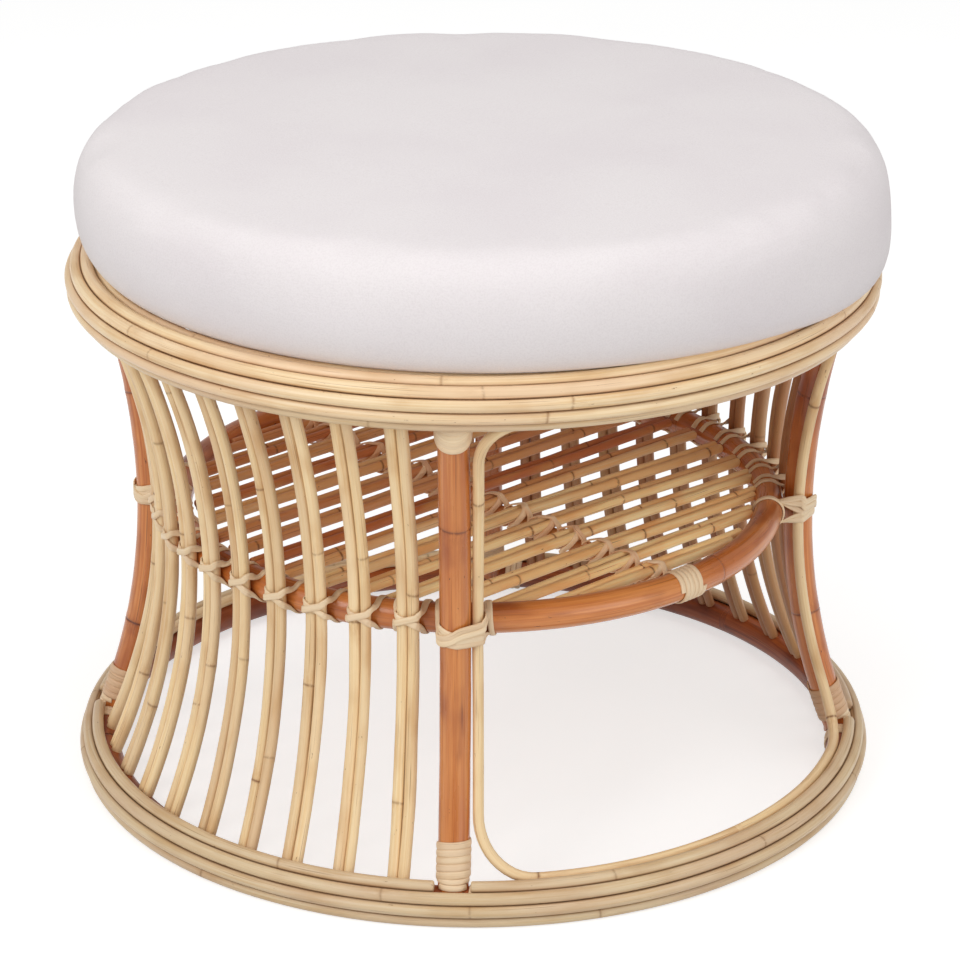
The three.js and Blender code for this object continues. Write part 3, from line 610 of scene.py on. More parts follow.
# Posts
def bowed(height, waist, bows):
    """Plan radius of an upright that bows in at the shelf hoop."""
    rise = np.asarray(height, float) - SHELF_LEVEL
    upper, lower = TOP_HOOP[1] - SHELF_LEVEL, SHELF_LEVEL - BASE_HOOP[1]
    return waist + np.where(rise > 0, bows[0] * (rise / upper) ** 2, bows[1] * (rise / lower) ** 2)


def post_radius(height):
    return bowed(height, POST_WAIST, POST_BOWS)


def coped(rings):
    """The end rings of an upright are cut to lie on the two core hoops."""
    for index, (radius, height), way in ((0, BASE_HOOP, 1), (-1, TOP_HOOP, -1)):
        plan = np.linalg.norm(rings[index][:, :2], axis=-1)
        rise = np.sqrt(np.maximum(POLE_RADIUS ** 2 - (plan - radius) ** 2, 0.0))
        rings[index][:, 2] = height + way * rise
    return rings


# The left front post has one joint, where the photo shows it
post_heights = np.linspace(*POST_ENDS, 120)
for azimuth, name in zip(POST_AZIMUTHS, POST_NAMES):
    strands = Strands(int(azimuth))
    rng = strands.rng
    path = polar(post_radius(post_heights), azimuth, post_heights)
    joints = [rng.uniform(225, 245), rng.uniform(60, 90)] if name != "left_front" else [236.0]
    cane(strands, path, POLE_RADIUS, sides=FINE_SIDES, joints=joints, swell=0.03, ends=False,
         shape=coped)
    strands.make(f"post_pole_{name}", POLE, [f"post_{name}"])


# Spindles
spindle_heights = np.linspace(*SPINDLE_ENDS, 110)
radius = bowed(spindle_heights, SPINDLE_WAIST, SPINDLE_BOWS)
size_draws = np.random.default_rng(99).uniform(0.98, 1.15, (2, SPINDLE_PAIRS + 1, 2))
SPINDLE_SIZES = SPINDLE_RADIUS * size_draws
for index, (panel, post) in enumerate((("left", 135.0), ("right", 315.0))):
    for i in range(1, SPINDLE_PAIRS + 1):
        strands = Strands(100 + 100 * index + i)
        rng = strands.rng
        azimuth = post + i * SPINDLE_STEP
        gap = wander(spindle_heights, rng, 260, 0.35)
        bow = wander(spindle_heights, rng, 400, 0.7)
        for way, size in zip((-1, 1), SPINDLE_SIZES[index, i]):
            offset = way * (size * 0.985 + np.maximum(gap, -0.1)) + bow
            path = polar(radius, azimuth + np.degrees(offset / radius), spindle_heights)
            joints = joint_places(310, rng, 250)
            cane(strands, path, size, joints=joints, swell=0.07, uneven=0.02, touch=(-90 * way,),
                 dark=rng.uniform(0.5, 1.0), tone=rng.uniform(*SPINDLE_TONES_AND_SHADE[index]))
        strands.make(f"{panel}_spindles_{i}", SPINDLE, [f"spindle_pair_{panel}_{i}"])


# Arches
def arch_point(post, side, away, height):
    end = ARCH_TOP if height > SHELF_LEVEL else ARCH_BASE
    share = (height - SHELF_LEVEL) / (end[1] - SHELF_LEVEL)
    radius = POST_WAIST + (end[0] - POST_WAIST) * share ** 2
    return polar(radius, post + side * math.degrees(away / radius), height)


def arch_half(post, side):
    """From the middle of the base ring, up beside one post, to the middle of the top ring."""
    found = []

    def run(end, size, flip):
        furthest = math.radians(45) * end[0]
        places = [arch_point(post, side, away, end[1])
                  for away in np.linspace(furthest, ARCH_CORNER_AWAY + size + 2, 40)]
        found.extend(places[::-1] if flip else places)

    def corner(size, centre, start, end):
        for angle in np.linspace(math.radians(start), math.radians(end), 16):
            away = ARCH_CORNER_AWAY + size * (1 - math.cos(angle))
            found.append(arch_point(post, side, away, centre + size * math.sin(angle)))

    foot = ARCH_BASE[1] + ARCH_BASE_CORNER
    head = ARCH_TOP[1] - ARCH_TOP_CORNER
    run(ARCH_BASE, ARCH_BASE_CORNER, False)
    corner(ARCH_BASE_CORNER, foot, -90, 0)
    for height in np.linspace(foot + 3, head - 3, 60):
        edge = foot if height < SHELF_LEVEL else head
        share = (height - SHELF_LEVEL) / (edge - SHELF_LEVEL)
        away = ARCH_WAIST_AWAY + (ARCH_CORNER_AWAY - ARCH_WAIST_AWAY) * share
        found.append(arch_point(post, side, away, height))
    corner(ARCH_TOP_CORNER, head, 0, 90)
    run(ARCH_TOP, ARCH_TOP_CORNER, True)
    return found


for name, first, second in (("front", 225.0, 315.0), ("back", 45.0, 135.0)):
    strands = Strands(int(first) + 7)
    path = np.array(arch_half(first, 1) + arch_half(second, -1)[::-1][1:-1])
    joints = joint_places(1100, strands.rng, 240)
    cane(strands, path, ARCH_RADIUS, closed=True, joints=joints, swell=0.05, uneven=0.015,
         tone=0.4)
    strands.make(f"{name}_arch_cane", SPINDLE, [f"arch_{name}"])


# Decks
def even_places(count, pitch):
    return (np.arange(count) - (count - 1) / 2) * pitch


SHELF_PLACES = even_places(len(PAIR_SHIFTS), SHELF_PITCH) + PAIR_SHIFTS


def deck(name, node_name, places, slants, tones, height, ends_at, bearer_reach, seed):
    strands = Strands(seed)
    rng = strands.rng
    for middle, slant, base_tone in zip(places, slants, tones):
        for way in (-1, 1):
            y = middle + way * SLAT_OFFSET
            reach = ends_at(y)
            x = np.linspace(-reach + rng.uniform(0, 1.5), reach - rng.uniform(0, 1.5), 80)
            fade = np.clip((reach - np.abs(x)) / 60, 0, 1)
            bend = wander(x + reach, rng, 260, 0.8) * fade
            rise = wander(x + reach, rng, 200, 0.4)
            runoff = slant * np.maximum(x, 0)
            path = np.stack([x, y + np.maximum(bend * way, -0.1) * way + runoff, height + rise], -1)
            joints = joint_places(2 * reach, rng, 100)
            size = SLAT_RADIUS * rng.uniform(0.95, 1.02)
            cane(strands, path, size, joints=joints, swell=0.08, uneven=0.02, facing=Z_AXIS,
                 tone=base_tone + rng.uniform(-0.3, 0.3), touch=(90 * way,))
    y = np.linspace(-bearer_reach, bearer_reach, 90)
    path = np.stack([np.zeros_like(y), y, np.full_like(y, height - BEARER_DROP)], -1)
    cane(strands, path, BEARER_RADIUS, joints=joint_places(2 * bearer_reach, rng, 110),
         swell=0.05, facing=Z_AXIS)
    strands.make(name, SLAT, [node_name])


def shelf_end(y):
    """Half the length of a shelf slat at y."""
    at_strips = math.sqrt(max(SLAT_REACH_AT_STRIPS ** 2 - y ** 2, 0))
    at_hoop = math.sqrt(SLAT_REACH_AT_HOOP ** 2 - y ** 2)
    return max(at_strips, min(at_hoop, STRIPS_FROM))


deck("shelf_canes", "shelf_slats", SHELF_PLACES, PAIR_SLANTS, PAIR_TONES_AND_SHADE, SHELF_HEIGHT, shelf_end,
     SHELF_BEARER_REACH, 41)
seat_tones = np.random.default_rng(43).uniform(-0.4, 0.6, SEAT_PAIRS)
deck("seat_canes", "seat_slats", even_places(SEAT_PAIRS, SEAT_PITCH), np.zeros(SEAT_PAIRS), seat_tones,
     SEAT_HEIGHT, lambda y: math.sqrt(SEAT_REACH ** 2 - y ** 2), SEAT_BEARER_REACH, 42)


# Lashing and lacing
def shelf_lashing():
    """Over each pair one strip arches from gap to gap. From under its near shoulder another runs
    down the pair's near side, goes back under the bearer and comes up in the next gap."""
    strands = Strands(51)
    rng = strands.rng
    top = SHELF_HEIGHT + SLAT_RADIUS + STRIP_THICKNESS / 2 + OUTER_STRIP_LIFT
    knot = SHELF_HEIGHT - 0.6
    deep = SHELF_HEIGHT - BEARER_DROP - BEARER_RADIUS - STRIP_THICKNESS
    half = SLAT_OFFSET + SLAT_RADIUS
    gaps = (SHELF_PLACES[:-1] + SHELF_PLACES[1:]) / 2
    edges = [SHELF_PLACES[0] - half - 4.5, *gaps, SHELF_PLACES[-1] + half + 3.0]
    starts = [rng.uniform(-4.0, 1.0) for _ in edges]
    for i, middle in enumerate(SHELF_PLACES):
        (near, far), (near_x, far_x) = edges[i:i + 2], starts[i:i + 2]
        bulge = rng.uniform(1.5, 3.5)
        arch = [((far_x - 1.5, far + 0.8, knot - 2), (0, 0.9, 0.5)),
                ((far_x + 0.4, far - 1.5, knot + 1.0), (0, 0.8, 0.7)),
                ((far_x + bulge * 0.8, middle + half - 1.0, top - 0.9), (0, 0.5, 1)),
                ((far_x + bulge, middle + 1.0, top), (0, 0, 1)),
                ((near_x + bulge, middle - SLAT_OFFSET, top), (0, 0, 1)),
                ((near_x + bulge * 0.9, middle - half + 0.6, top - 1.2), (0, -0.6, 1)),
                ((near_x + bulge * 0.5, near + 2.4, knot + 0.8), (0, -0.8, 0.7)),
                ((near_x - 0.8, near - 0.4, knot - 2), (0, -0.9, 0.5))]
        run = rng.uniform(11.0, 16.0)
        leg = [((near_x + bulge * 0.8, middle - SLAT_OFFSET, top - 0.7), (0, 0, 1)),
               ((near_x + bulge * 0.4, middle - half + 0.8, top - 1.6), (0, -0.7, 1)),
               ((near_x - run * 0.3, middle - half - 0.8, SHELF_HEIGHT - 0.6), (-0.1, -1, 0.2)),
               ((near_x - run * 0.7, middle - half - 1.0, SHELF_HEIGHT - 3.6), (-0.2, -1, -0.1)),
               ((near_x - run, middle - half + 0.2, SHELF_HEIGHT - 6.4), (-0.4, -0.8, -0.5)),
               ((-4.0, near + 3.0, deep), (-0.2, 0, -1)),
               ((3.0, near + 1.5, deep), (0.2, 0, -1)),
               ((BEARER_RADIUS + 1.2, near + 0.5, SHELF_HEIGHT - BEARER_DROP), (1, 0, 0)),
               ((near_x + 4.0, near + 0.4, knot - 1.5), (0.6, 0, 0.8))]
        # Each strip takes its pair's tone, lifted, which towards the back is painted shade
        for route in (leg, arch):
            strip(strands, *zip(*route), width=STRIP_WIDTH * rng.uniform(1.05, 1.2),
                  tone=PAIR_TONES_AND_SHADE[i] + rng.uniform(0.3, 0.7))
    strands.make("shelf_lashing_strip", LASHING, ["shelf_lashing"])


shelf_lashing()


def round_hoop(azimuth, along, angles, layer=0, hoop=SHELF_HOOP):
    """Places and normals of a strip round a hoop, from one angle to another about its axis."""
    turned = np.radians(angles)
    away = POLE_RADIUS + STRIP_LIFT + STRIP_THICKNESS * (0.5 + layer)
    radius = hoop[0] + away * np.cos(turned)
    plan = azimuth + np.degrees(along / radius)
    normals = polar(np.cos(turned), plan, np.sin(turned))
    return polar(radius, plan, hoop[1] + away * np.sin(turned)), normals


def round_upright(azimuth, side, away, from_axis, size, angles, heights, layer=0):
    """Places and normals of a strip round an upright cane beside the shelf hoop."""
    turned = np.radians(angles)[:, None]
    out = polar(1.0, azimuth, 0.0)
    onward = polar(1.0, azimuth + 90, 0.0) * side
    normals = onward * np.cos(turned) + out * np.sin(turned)
    reach = size + STRIP_LIFT + STRIP_THICKNESS * (0.5 + layer)
    points = out * from_axis + onward * away + normals * reach
    points[:, 2] = SHELF_LEVEL + heights
    return points, normals


def joined(*runs):
    return [np.concatenate(parts) for parts in zip(*runs)]


def lacing(panel, post, sizes, seed):
    """Each pair is crossed in front, a little above the hoop's middle. One strip goes up over the
    hoop beside the pair, and the other goes down under it and on to the next pair."""
    strands = Strands(seed)
    rng = strands.rng
    for i in range(1, SPINDLE_PAIRS + 1):
        near, far = sizes[i]
        left = (-near, SPINDLE_WAIST, near)
        right = (far, SPINDLE_WAIST, far)
        azimuth = post + i * SPINDLE_STEP
        lift = rng.uniform(-1.0, 0.8)
        steep = rng.uniform(0.85, 1.1)
        first = np.array([7.4, 6.6, 5.4, 1.4, 0.0, -1.6]) * steep + lift
        second = np.array([9.8, 8.4, 6.6, 3.0, 1.8, 0.8]) * steep + lift
        lean = rng.uniform(1.8, 3.2)
        before, edge = -2 * near - 1.3, 2 * far + 0.4
        under = joined(
            round_hoop(azimuth, before, [150, 115, 85, 62]),
            round_upright(azimuth, 1, *left, [165, 135, 105], first[:3]),
            round_upright(azimuth, 1, *right, [75, 45, 15], first[3:]),
            round_hoop(azimuth, [edge + 0.5, edge + 0.9, edge + 1.2, edge + 1.4], [-38, -70, -105, -150]))
        over = joined(
            round_hoop(azimuth, np.array([lean, lean * 0.9, lean * 0.6, 0.9]) + edge, [150, 112, 80, 52]),
            round_upright(azimuth, 1, *right, [15, 45, 75], second[:3], 1),
            round_upright(azimuth, 1, *left, [105, 135, 165], second[3:], 1),
            round_hoop(azimuth, before, [-30, -70, -105, -150]))
        for route in (under, over):
            strip(strands, *route, per=4, width=STRIP_WIDTH * rng.uniform(1.06, 1.2))
    strands.make(f"{panel}_lacing_strip", BINDING, [f"panel_lacing_{panel}"])


lacing("left", 135.0, SPINDLE_SIZES[0], 61)
lacing("right", 315.0, SPINDLE_SIZES[1], 62)


def waist_binding(azimuth, side, name, seed):
    """Three turns lie nearly level round the post and the arch, two cross them aslant, and one
    more goes round the hoop beside the arch."""
    strands = Strands(seed)
    rng = strands.rng
    post = (0.0, POST_WAIST, POLE_RADIUS)
    arch = (ARCH_WAIST_AWAY, POST_WAIST, ARCH_RADIUS)
    left = POLE_RADIUS + 1.2
    right = ARCH_WAIST_AWAY + ARCH_RADIUS + 1.4
    falling = np.array([0.0, 0.3, 0.62, 0.85, 1.0, 1.05, 1.05, 1.0])
    rising = np.array([0.0, -0.03, 0.07, 0.27, 0.52, 0.66, 0.86, 1.0])
    turns = [(0, 4.2, 0.6, falling), (0, 0.2, -2.6, falling), (0, -3.6, -5.7, falling),
             (1, -1.6, 9.8, rising), (1, -4.9, 6.0, rising)]
    for layer, start, end, easing in turns:
        heights = start + (end - start) * easing + rng.uniform(-0.3, 0.3)
        over = [150, 115, 80, 50] if start > -2 else [-150, -110, -80, -50]
        back = [50, 80, 115, 150] if end > 0 else [-50, -80, -110, -150]
        route = joined(
            round_hoop(azimuth, -side * (left + rng.uniform(0, 0.6)), over),
            round_upright(azimuth, side, *post, [170, 145, 120, 95, 70], heights[:5], layer),
            round_upright(azimuth, side, *arch, [60, 30, 5], heights[5:], layer),
            round_hoop(azimuth, side * (right + rng.uniform(0, 0.6)), back))
        strip(strands, *route, per=4, width=STRIP_WIDTH * 1.08)
    slip = side * np.interp(np.arange(13), [0, 3, 9, 12], [0.0, 0.6, 3.6, 4.2])
    route = round_hoop(azimuth, side * (right + 0.4) + slip, np.linspace(180, -180, 13), 0.2)
    strip(strands, *route, per=3)
    strands.make(f"waist_strip_{name}", BINDING, [f"waist_binding_{name}"])


for i, (azimuth, name) in enumerate(zip(POST_AZIMUTHS, POST_NAMES)):
    waist_binding(azimuth, OPEN_SIDES[i], name, 70 + i)


def round_post(azimuth, height, angle, layer=0.0):
    """A place and normal of a strip round a post, at an angle from its outer side."""
    slope = float(post_radius(height + 1) - post_radius(height - 1)) / 2
    axis = unit(polar(slope, azimuth, 1.0))
    out = unit(polar(1.0, azimuth, -slope))
    turned = math.radians(angle)
    normal = out * math.cos(turned) + np.cross(axis, out) * math.sin(turned)
    reach = POLE_RADIUS + OUTER_STRIP_LIFT + STRIP_THICKNESS * (0.5 + layer)
    return polar(post_radius(height), azimuth, height) + normal * reach, normal


def foot_binding(strands, azimuth):
    """Turns of a strip, one against the other, from the post's foot up."""
    low, high, turns, steps = 24.4, 46.2, 5, 16
    count = turns * steps
    heights = low + (high - low) * np.arange(count + 1) / count
    route = [round_post(azimuth, height, 180 + 360 * k / steps) for k, height in enumerate(heights)]
    strip(strands, *zip(*route), width=4.7, per=2, tone=strands.rng.uniform(-0.3, 0.2))
    for height, reach in ((22.6, 75), (19.0, 55)):
        route = [round_post(azimuth, height + (angle / 60) ** 2, angle, -0.3)
                 for angle in np.linspace(-reach, reach, 9)]
        strip(strands, *zip(*route), width=3.8, per=2)


def head_binding(strands, azimuth):
    """Strips slung under the ring, across the post's front. Each lies above the one before."""
    count, lowest, step, rise, top = 5, 307.0, 3.1, 6.6, 329.0
    for k in range(count):
        route = []
        for angle in np.linspace(-130, 130, 21):
            height = min(lowest + step * k + rise * (abs(angle) / 90) ** 2.4, top)
            route.append(round_post(azimuth, height, angle, 0.5 - 0.12 * k))
        strip(strands, *zip(*route), width=4.2, per=2)


for i, (azimuth, name) in enumerate(zip(POST_AZIMUTHS, POST_NAMES)):
    rng = np.random.default_rng(80 + i)
    for end, bind in (("foot", foot_binding), ("head", head_binding)):
        strands = Strands(rng)
        bind(strands, azimuth)
        strands.make(f"{end}_strip_{name}", BINDING, [f"{end}_binding_{name}"])


def hoop_turns(name, azimuth, start, turns, width, hoop, seed):
    """A strip wound round a hoop, each turn beside the one before."""
    strands = Strands(seed)
    steps = 12
    k = np.arange(turns * steps + 1)
    along = start + turns * width * k / k[-1]
    strip(strands, *round_hoop(azimuth, along, 360 * k / steps, hoop=hoop), width=width * 0.97, per=2)
    strands.make(name, BINDING)


hoop_turns("splice_strip", -90.0, -9.0, 5, STRIP_WIDTH, SHELF_HOOP, 90)
for i, (azimuth, name) in enumerate(zip(POST_AZIMUTHS, POST_NAMES)):
    other_start = -BASE_STRIP_START - BASE_STRIP_TURNS * BASE_STRIP_WIDTH
    for label, start, seed in (("a", BASE_STRIP_START, 100), ("b", other_start, 110)):
        hoop_turns(f"base_strip_{label}_{name}", azimuth, start, BASE_STRIP_TURNS, BASE_STRIP_WIDTH,
                   BASE_HOOP, seed + i)


def closed_form(stacks):
    """Points and faces of closed forms, each a point below, rings of points and a point above."""
    points, faces = [], []
    for below, rings, above in stacks:
        start = len(points)
        points.extend([below, *rings.reshape(-1, 3), above])
        sides = rings.shape[1]
        first, last, crown = start + 1, len(points) - 1 - sides, len(points) - 1
        pairs = [(j, (j + 1) % sides) for j in range(sides)]
        faces.extend((start, first + k, first + j) for j, k in pairs)
        for a in range(first, last, sides):
            b = a + sides
            faces.extend((a + j, a + k, b + k, b + j) for j, k in pairs)
        faces.extend((crown, last + j, last + k) for j, k in pairs)
    return np.array(points), faces


def nail_heads():
    """A small dark nail in the front of each head binding."""
    rings, steps = 4, 12
    material, tree = new_material("dark_nail")
    place = node(tree, "ShaderNodeTexCoord").outputs["Object"]
    rust = noise(tree, place, (1800.0, 1800.0), 2.0)
    shader = node(tree, "ShaderNodeBsdfPrincipled",
                  {"Base Color": mix(tree, rust, linear(52, 44, 40), linear(88, 58, 42)),
                   "Metallic": 0.7, "Roughness": window(tree, rust, 0.3, 0.7, 0.4, 0.7)})
    shown(tree, shader)
    lift = np.radians(90 * np.arange(rings) / rings)[:, None, None]
    turned = 2 * math.pi * np.arange(steps)[:, None] / steps
    stacks = []
    for azimuth in POST_AZIMUTHS:
        centre, out = round_post(azimuth, NAIL_HEIGHT, NAIL_ANGLE, 0.1)
        across = unit(np.cross(Z_AXIS, out))
        flat = across * np.cos(turned) + np.cross(out, across) * np.sin(turned)
        dome = centre + NAIL_RADIUS * (flat * np.cos(lift) + out * (NAIL_RISE * np.sin(lift)))
        stacks.append((centre, dome, centre + out * NAIL_RISE * NAIL_RADIUS))
    mesh = new_mesh("head_nails", *closed_form(stacks))
    smoothed(mesh)
    mesh.materials.append(material)
    nails = placed("head_nails", mesh)
    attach(nails, "frame")


nail_heads()


# Cushion
CUSHION_PLACE = np.array([4.2, -3.8])
CUSHION_RADIUS = 259.6
CUSHION_FOOT = 351.2
CUSHION_SHOULDER = 422.8
CUSHION_CROWN = 3.6
CUSHION_EDGE = 22.0
CUSHION_TUCK = 24.0
CUSHION_SAG = 8.4
CUSHION_SINK = 1.2
CUSHION_ROUNDNESS = 0.85

# On one side the edge hangs lower over the ring, is fuller and is tucked in less
HANG_AZIMUTH = -42.1
HANG_DEPTH = 9.0
HANG_FULLNESS = 0.45
HANG_TUCK = 4.0

# The cloth simulation fills the cover out, by no more than the cap. The share that stays as the
# simulation gave it keeps a few gathers, and the rest is evened out.
VOXEL_SIZE = 5.0
COVER_INSET = 0.6
PRESSURE = 4.0
SHRINK = -0.006
LAST_FRAME = 20
PUFF_CAP = 3.5
PUFF_INWARD_CUT = 0.75
GATHERED_SHARE = 0.18
EVENED_SHARE = 0.82
EVENING_ROUNDS = 30
LOOSE_FROM = 4.0
LOOSE_OVER = 20.0


def cane_tops(radius):
    """Height of the top of the ring's canes at each plan radius, or far below it outside them."""
    tops = np.full(np.shape(radius), -1e3)
    for angle in (INNER_CANE_ANGLE, *(TOP_CANE_START - i * WRAP_PITCH for i in range(3))):
        across, height = orbit(TOP_HOOP, angle)
        rise = WRAP_RADIUS ** 2 - (radius - across) ** 2
        tops = np.where(rise > 0, np.maximum(tops, height + np.sqrt(np.maximum(rise, 0))), tops)
    return tops


def cushion_profile(inset, azimuth):
    """Plan radius and height from the middle of the underside to the middle of the top. The
    underside sags inside the ring, and the edge hangs over the ring on one side."""
    hang = max(math.cos(math.radians(azimuth - HANG_AZIMUTH)), 0.0) ** 3
    low, high = CUSHION_FOOT - HANG_DEPTH * hang, CUSHION_SHOULDER - inset
    middle, half = (low + high) / 2, (high - low) / 2
    power = 1 - HANG_FULLNESS * hang
    edge = CUSHION_RADIUS - inset
    inner = CUSHION_RADIUS - (CUSHION_TUCK - HANG_TUCK * hang)
    under = [(inner * share, CUSHION_FOOT - CUSHION_SAG * min((1 - share) / 0.035, 1.0))
             for share in (*np.linspace(0.05, 0.85, 17), 0.9, 0.94, 0.96, 0.97, 0.98, 0.99)]
    lower = [(inner + (edge - inner) * math.cos(turned) ** power,
              middle - half * math.sin(-turned) ** power)
             for turned in np.linspace(-math.pi / 2 + 1e-6, 0, 21)]
    top_edge = CUSHION_RADIUS - CUSHION_EDGE
    upper = [(top_edge + (CUSHION_EDGE - inset) * max(math.cos(turned), 0.0) ** CUSHION_ROUNDNESS,
              middle + half * math.sin(turned) ** CUSHION_ROUNDNESS)
             for turned in np.linspace(0, math.pi / 2, 21)[1:]]
    crown = [(top_edge * share, high + CUSHION_CROWN * (1 - share ** 2))
             for share in np.linspace(0.97, 0.05, 24)]
    return under + lower + upper + crown


def cushion_mesh(inset):
    segments = 160
    profiles = np.array([cushion_profile(inset, 360 * j / segments) for j in range(segments)])
    azimuths = np.linspace(0, 2 * math.pi, segments, endpoint=False)[:, None]
    rows = np.stack([profiles[..., 0] * np.cos(azimuths), profiles[..., 0] * np.sin(azimuths),
                     profiles[..., 1]], -1).transpose(1, 0, 2)
    points, faces = closed_form([((0, 0, rows[0, 0, 2]), rows, (0, 0, rows[-1, 0, 2] + 0.01))])
    points[:, :2] += CUSHION_PLACE
    resting = cane_tops(np.hypot(points[:, 0], points[:, 1])) - CUSHION_SINK
    points[:, 2] = np.maximum(points[:, 2], resting)
    return new_mesh("cushion", points, faces)


def places(mesh):
    found = np.empty(len(mesh.vertices) * 3, np.float32)
    mesh.vertices.foreach_get("co", found)
    return found.reshape(-1, 3).astype(float)


def applied(piece):
    """The piece's mesh with its modifiers applied, in place of its own."""
    evaluated = piece.evaluated_get(bpy.context.evaluated_depsgraph_get())
    mesh = bpy.data.meshes.new_from_object(evaluated)
    piece.modifiers.clear()
    piece.data = mesh
    return mesh


def evened(mesh, values, rounds):
    """Values at a mesh's points, evened out with those of their neighbours."""
    ends = np.empty(len(mesh.edges) * 2, np.int32)
    mesh.edges.foreach_get("vertices", ends)
    one, other = ends.reshape(-1, 2).T
    neighbours = np.maximum(np.bincount(ends, minlength=len(values)), 1)[:, None]
    for _ in range(rounds):
        total = np.zeros_like(values)
        np.add.at(total, one, values[other])
        np.add.at(total, other, values[one])
        values = (values + total / neighbours) / 2
    return values


def puff(piece):
    """Cloth with air inside fills the cover out. The underside and lower edge stay as they lie."""
    remesh = piece.modifiers.new("remesh", "REMESH")
    remesh.mode = "VOXEL"
    remesh.voxel_size = VOXEL_SIZE * MM
    before = places(applied(piece))
    lying = np.nonzero(before[:, 2] < (CUSHION_FOOT + LOOSE_FROM) * MM)[0]
    pinned = piece.vertex_groups.new(name="lying")
    pinned.add(lying.tolist(), 1.0, "REPLACE")
    cloth = piece.modifiers.new("cloth", "CLOTH")
    cloth.settings.vertex_group_mass = "lying"
    cloth.settings.use_pressure = True
    cloth.settings.uniform_pressure_force = PRESSURE
    cloth.settings.shrink_min = cloth.settings.shrink_max = SHRINK
    cloth.settings.effector_weights.gravity = 0.0
    cloth.point_cache.frame_end = LAST_FRAME
    for time in range(1, LAST_FRAME + 1):
        bpy.context.scene.frame_set(time)
    mesh = applied(piece)
    bpy.context.scene.frame_set(1)
    move = places(mesh) - before
    away = outward(before - np.array([*CUSHION_PLACE, 0.0]) * MM)
    inward = np.minimum(np.sum(move * away, axis=1, keepdims=True), 0.0)
    move -= PUFF_INWARD_CUT * inward * away
    move = EVENED_SHARE * evened(mesh, move, EVENING_ROUNDS) + GATHERED_SHARE * move
    length = np.linalg.norm(move, axis=1, keepdims=True)
    cap = PUFF_CAP * MM
    capped = cap * np.tanh(length / cap) / np.maximum(length, 1e-9)
    loose = np.clip((before[:, 2:] / MM - CUSHION_FOOT - LOOSE_FROM) / LOOSE_OVER, 0, 1)
    after = before + move * capped * loose
    mesh.vertices.foreach_set("co", after.astype(np.float32).ravel())
    mesh.update()
    piece.vertex_groups.clear()


def cloth_finish():
    """Plain white cotton: a fine weave, faint slubs and broad, faintly darker patches painted as the
    shade of soft creases.
    """
    material, tree = new_material("white_cloth")
    place = node(tree, "ShaderNodeTexCoord").outputs["Object"]
    crease_shade = noise(tree, place, (7.0, 12.0), 3.0)
    threads = noise(tree, place, (900.0, 900.0), 2.0)
    slubs = noise(tree, place, (60.0, 900.0), 3.0)
    # Painted shade: the broad patches darken the cloth a little, standing in for the shade of creases
    shade = mix(tree, window(tree, crease_shade, 0.35, 0.7), linear(240, 234, 235), linear(236, 229, 231))
    shade = mix(tree, times(tree, window(tree, threads, 0.4, 0.7), 0.25), shade, linear(220, 212, 213))
    height = maths(tree, "ADD", threads, times(tree, slubs, 0.5))
    relief = node(tree, "ShaderNodeBump", {"Strength": 0.6, "Distance": 0.3 * MM, "Height": height})
    gloss = window(tree, threads, 0.3, 0.7, 0.82, 0.95)
    shader = node(tree, "ShaderNodeBsdfPrincipled",
                  {"Base Color": shade, "Roughness": gloss, "Normal": relief.outputs[0],
                   "Sheen Weight": 0.15, "Sheen Roughness": 0.5, "Specular IOR Level": 0.2})
    shown(tree, shader)
    return material


def cushion():
    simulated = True
    piece = placed("cushion_cover_cloth", cushion_mesh(COVER_INSET if simulated else 0.0))
    if simulated:
        puff(piece)
    smoothed(piece.data)
    piece.data.materials.clear()
    piece.data.materials.append(cloth_finish())
    finer = piece.modifiers.new("finer", "SUBSURF")
    finer.levels = finer.render_levels = 1
    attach(piece, "cushion")
    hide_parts("cushion_cover", "cushion_foam")


cushion()


# Stage, light and camera
FLOOR_GLOW = 0.62
FLOOR_REACH = 9000.0
FLOOR_DROP = 0.4
WORLD_LEVEL = 0.46

# What the lamps and the camera face
TARGET = np.array([0.0, 0.0, 0.187])

# The camera's azimuth, elevation and distance from the target, as fitted to the photo
CAMERA_PLACE = (-42.1, 22.42, 2.285)
CAMERA_LENS = 130.65
CAMERA_SHIFT = 0.0069

# Each lamp's name, size, power, azimuth, elevation and distance from the target
LAMPS = (("key", 1.5, 23, -88, 32, 2.6),
         ("fill", 1.8, 18.5, 4, 13, 2.8),
         ("top", 2.2, 15.5, 10, 80, 2.4))


def seen_by(tree, *kinds):
    """One for rays of these kinds, and nought for all others."""
    rays = node(tree, "ShaderNodeLightPath").outputs
    seen = 0.0
    for kind in kinds:
        seen = maths(tree, "ADD", seen, rays[f"Is {kind} Ray"], True)
    return seen


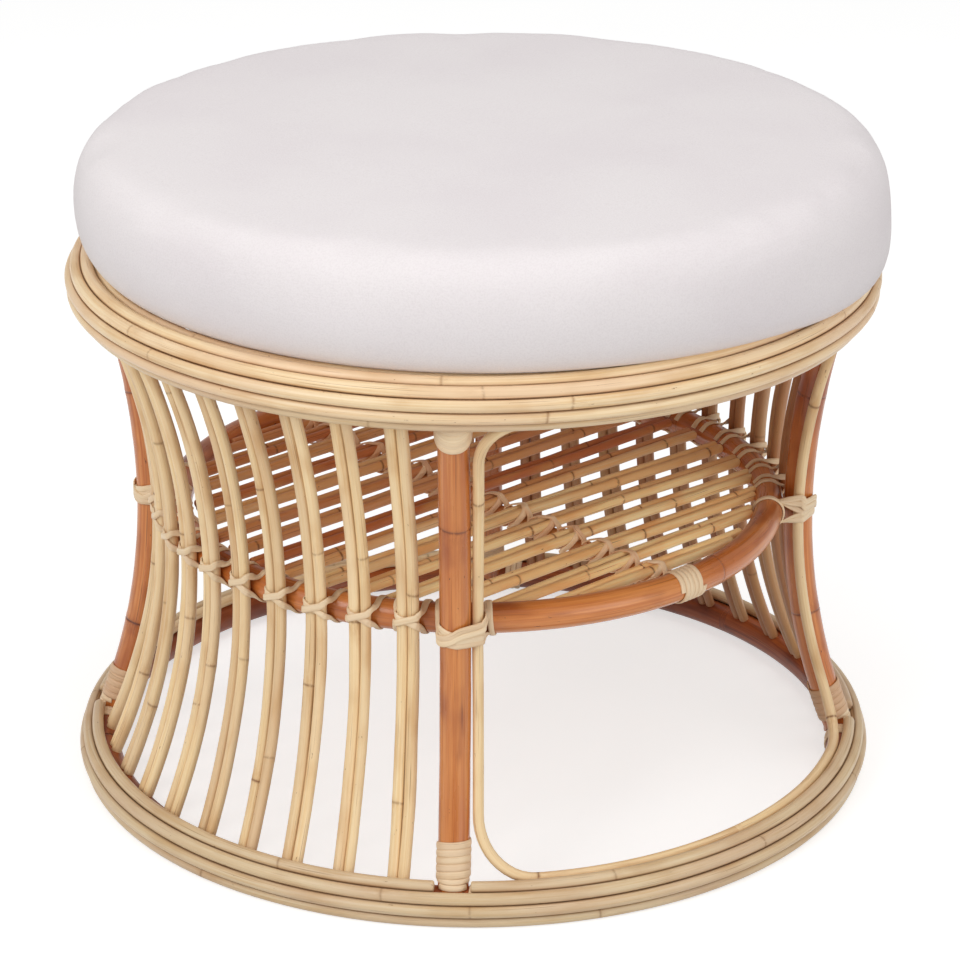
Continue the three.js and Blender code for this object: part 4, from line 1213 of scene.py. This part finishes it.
def stage_floor():
    corners = np.array([(-1, -1, 0), (1, -1, 0), (1, 1, 0), (-1, 1, 0)]) * FLOOR_REACH
    mesh = new_mesh("floor", corners, [(0, 1, 2, 3)])
    floor = placed("floor", mesh)
    floor.location.z = -FLOOR_DROP * MM
    material, tree = new_material("pale_floor")
    place = node(tree, "ShaderNodeTexCoord").outputs["Object"]
    grain = noise(tree, place, (3.0, 3.0), 2.0)
    shade = mix(tree, grain, (0.6, 0.6, 0.6, 1), (0.63, 0.63, 0.63, 1))
    diffuse = node(tree, "ShaderNodeBsdfDiffuse", {"Color": shade})
    seen = seen_by(tree, "Camera", "Glossy", "Transmission")
    glow = node(tree, "ShaderNodeEmission", {"Strength": times(tree, seen, FLOOR_GLOW)})
    both = node(tree, "ShaderNodeAddShader", {0: diffuse.outputs[0], 1: glow.outputs[0]})
    shown(tree, both)
    mesh.materials.append(material)


stage_floor()


def studio_world():
    world = bpy.data.worlds.new("studio")
    world.use_nodes = True
    tree = world.node_tree
    tree.nodes.clear()
    seen = seen_by(tree, "Camera", "Transmission")
    strength = node(tree, "ShaderNodeMapRange",
                    {"Value": seen, "To Min": WORLD_LEVEL, "To Max": 1.0}).outputs[0]
    back = node(tree, "ShaderNodeBackground", {"Color": (1.0, 0.995, 0.985, 1), "Strength": strength})
    shown(tree, back, "ShaderNodeOutputWorld")
    bpy.context.scene.world = world


studio_world()


def aimed(name, data, azimuth, elevation, distance):
    """A new object at a distance from the target, turned to face it."""
    turned, rise = math.radians(azimuth), math.radians(elevation)
    away = np.array([math.sin(turned) * math.cos(rise), -math.cos(turned) * math.cos(rise),
                     math.sin(rise)])
    made = placed(name, data)
    made.location = TARGET + distance * away
    made.rotation_euler = (math.pi / 2 - rise, 0.0, turned)
    return made


for name, size, power, *place in LAMPS:
    lamp = bpy.data.lights.new(name, "AREA")
    lamp.shape = "DISK"
    lamp.size = size
    lamp.energy = power
    aimed(name, lamp, *place)

camera_data = bpy.data.cameras.new("camera")
camera_data.lens = CAMERA_LENS
camera_data.sensor_width = 36.0
camera_data.sensor_fit = "HORIZONTAL"
camera_data.shift_x = CAMERA_SHIFT
bpy.context.scene.camera = aimed("camera", camera_data, *CAMERA_PLACE)
bpy.context.scene.view_settings.view_transform = "Standard"
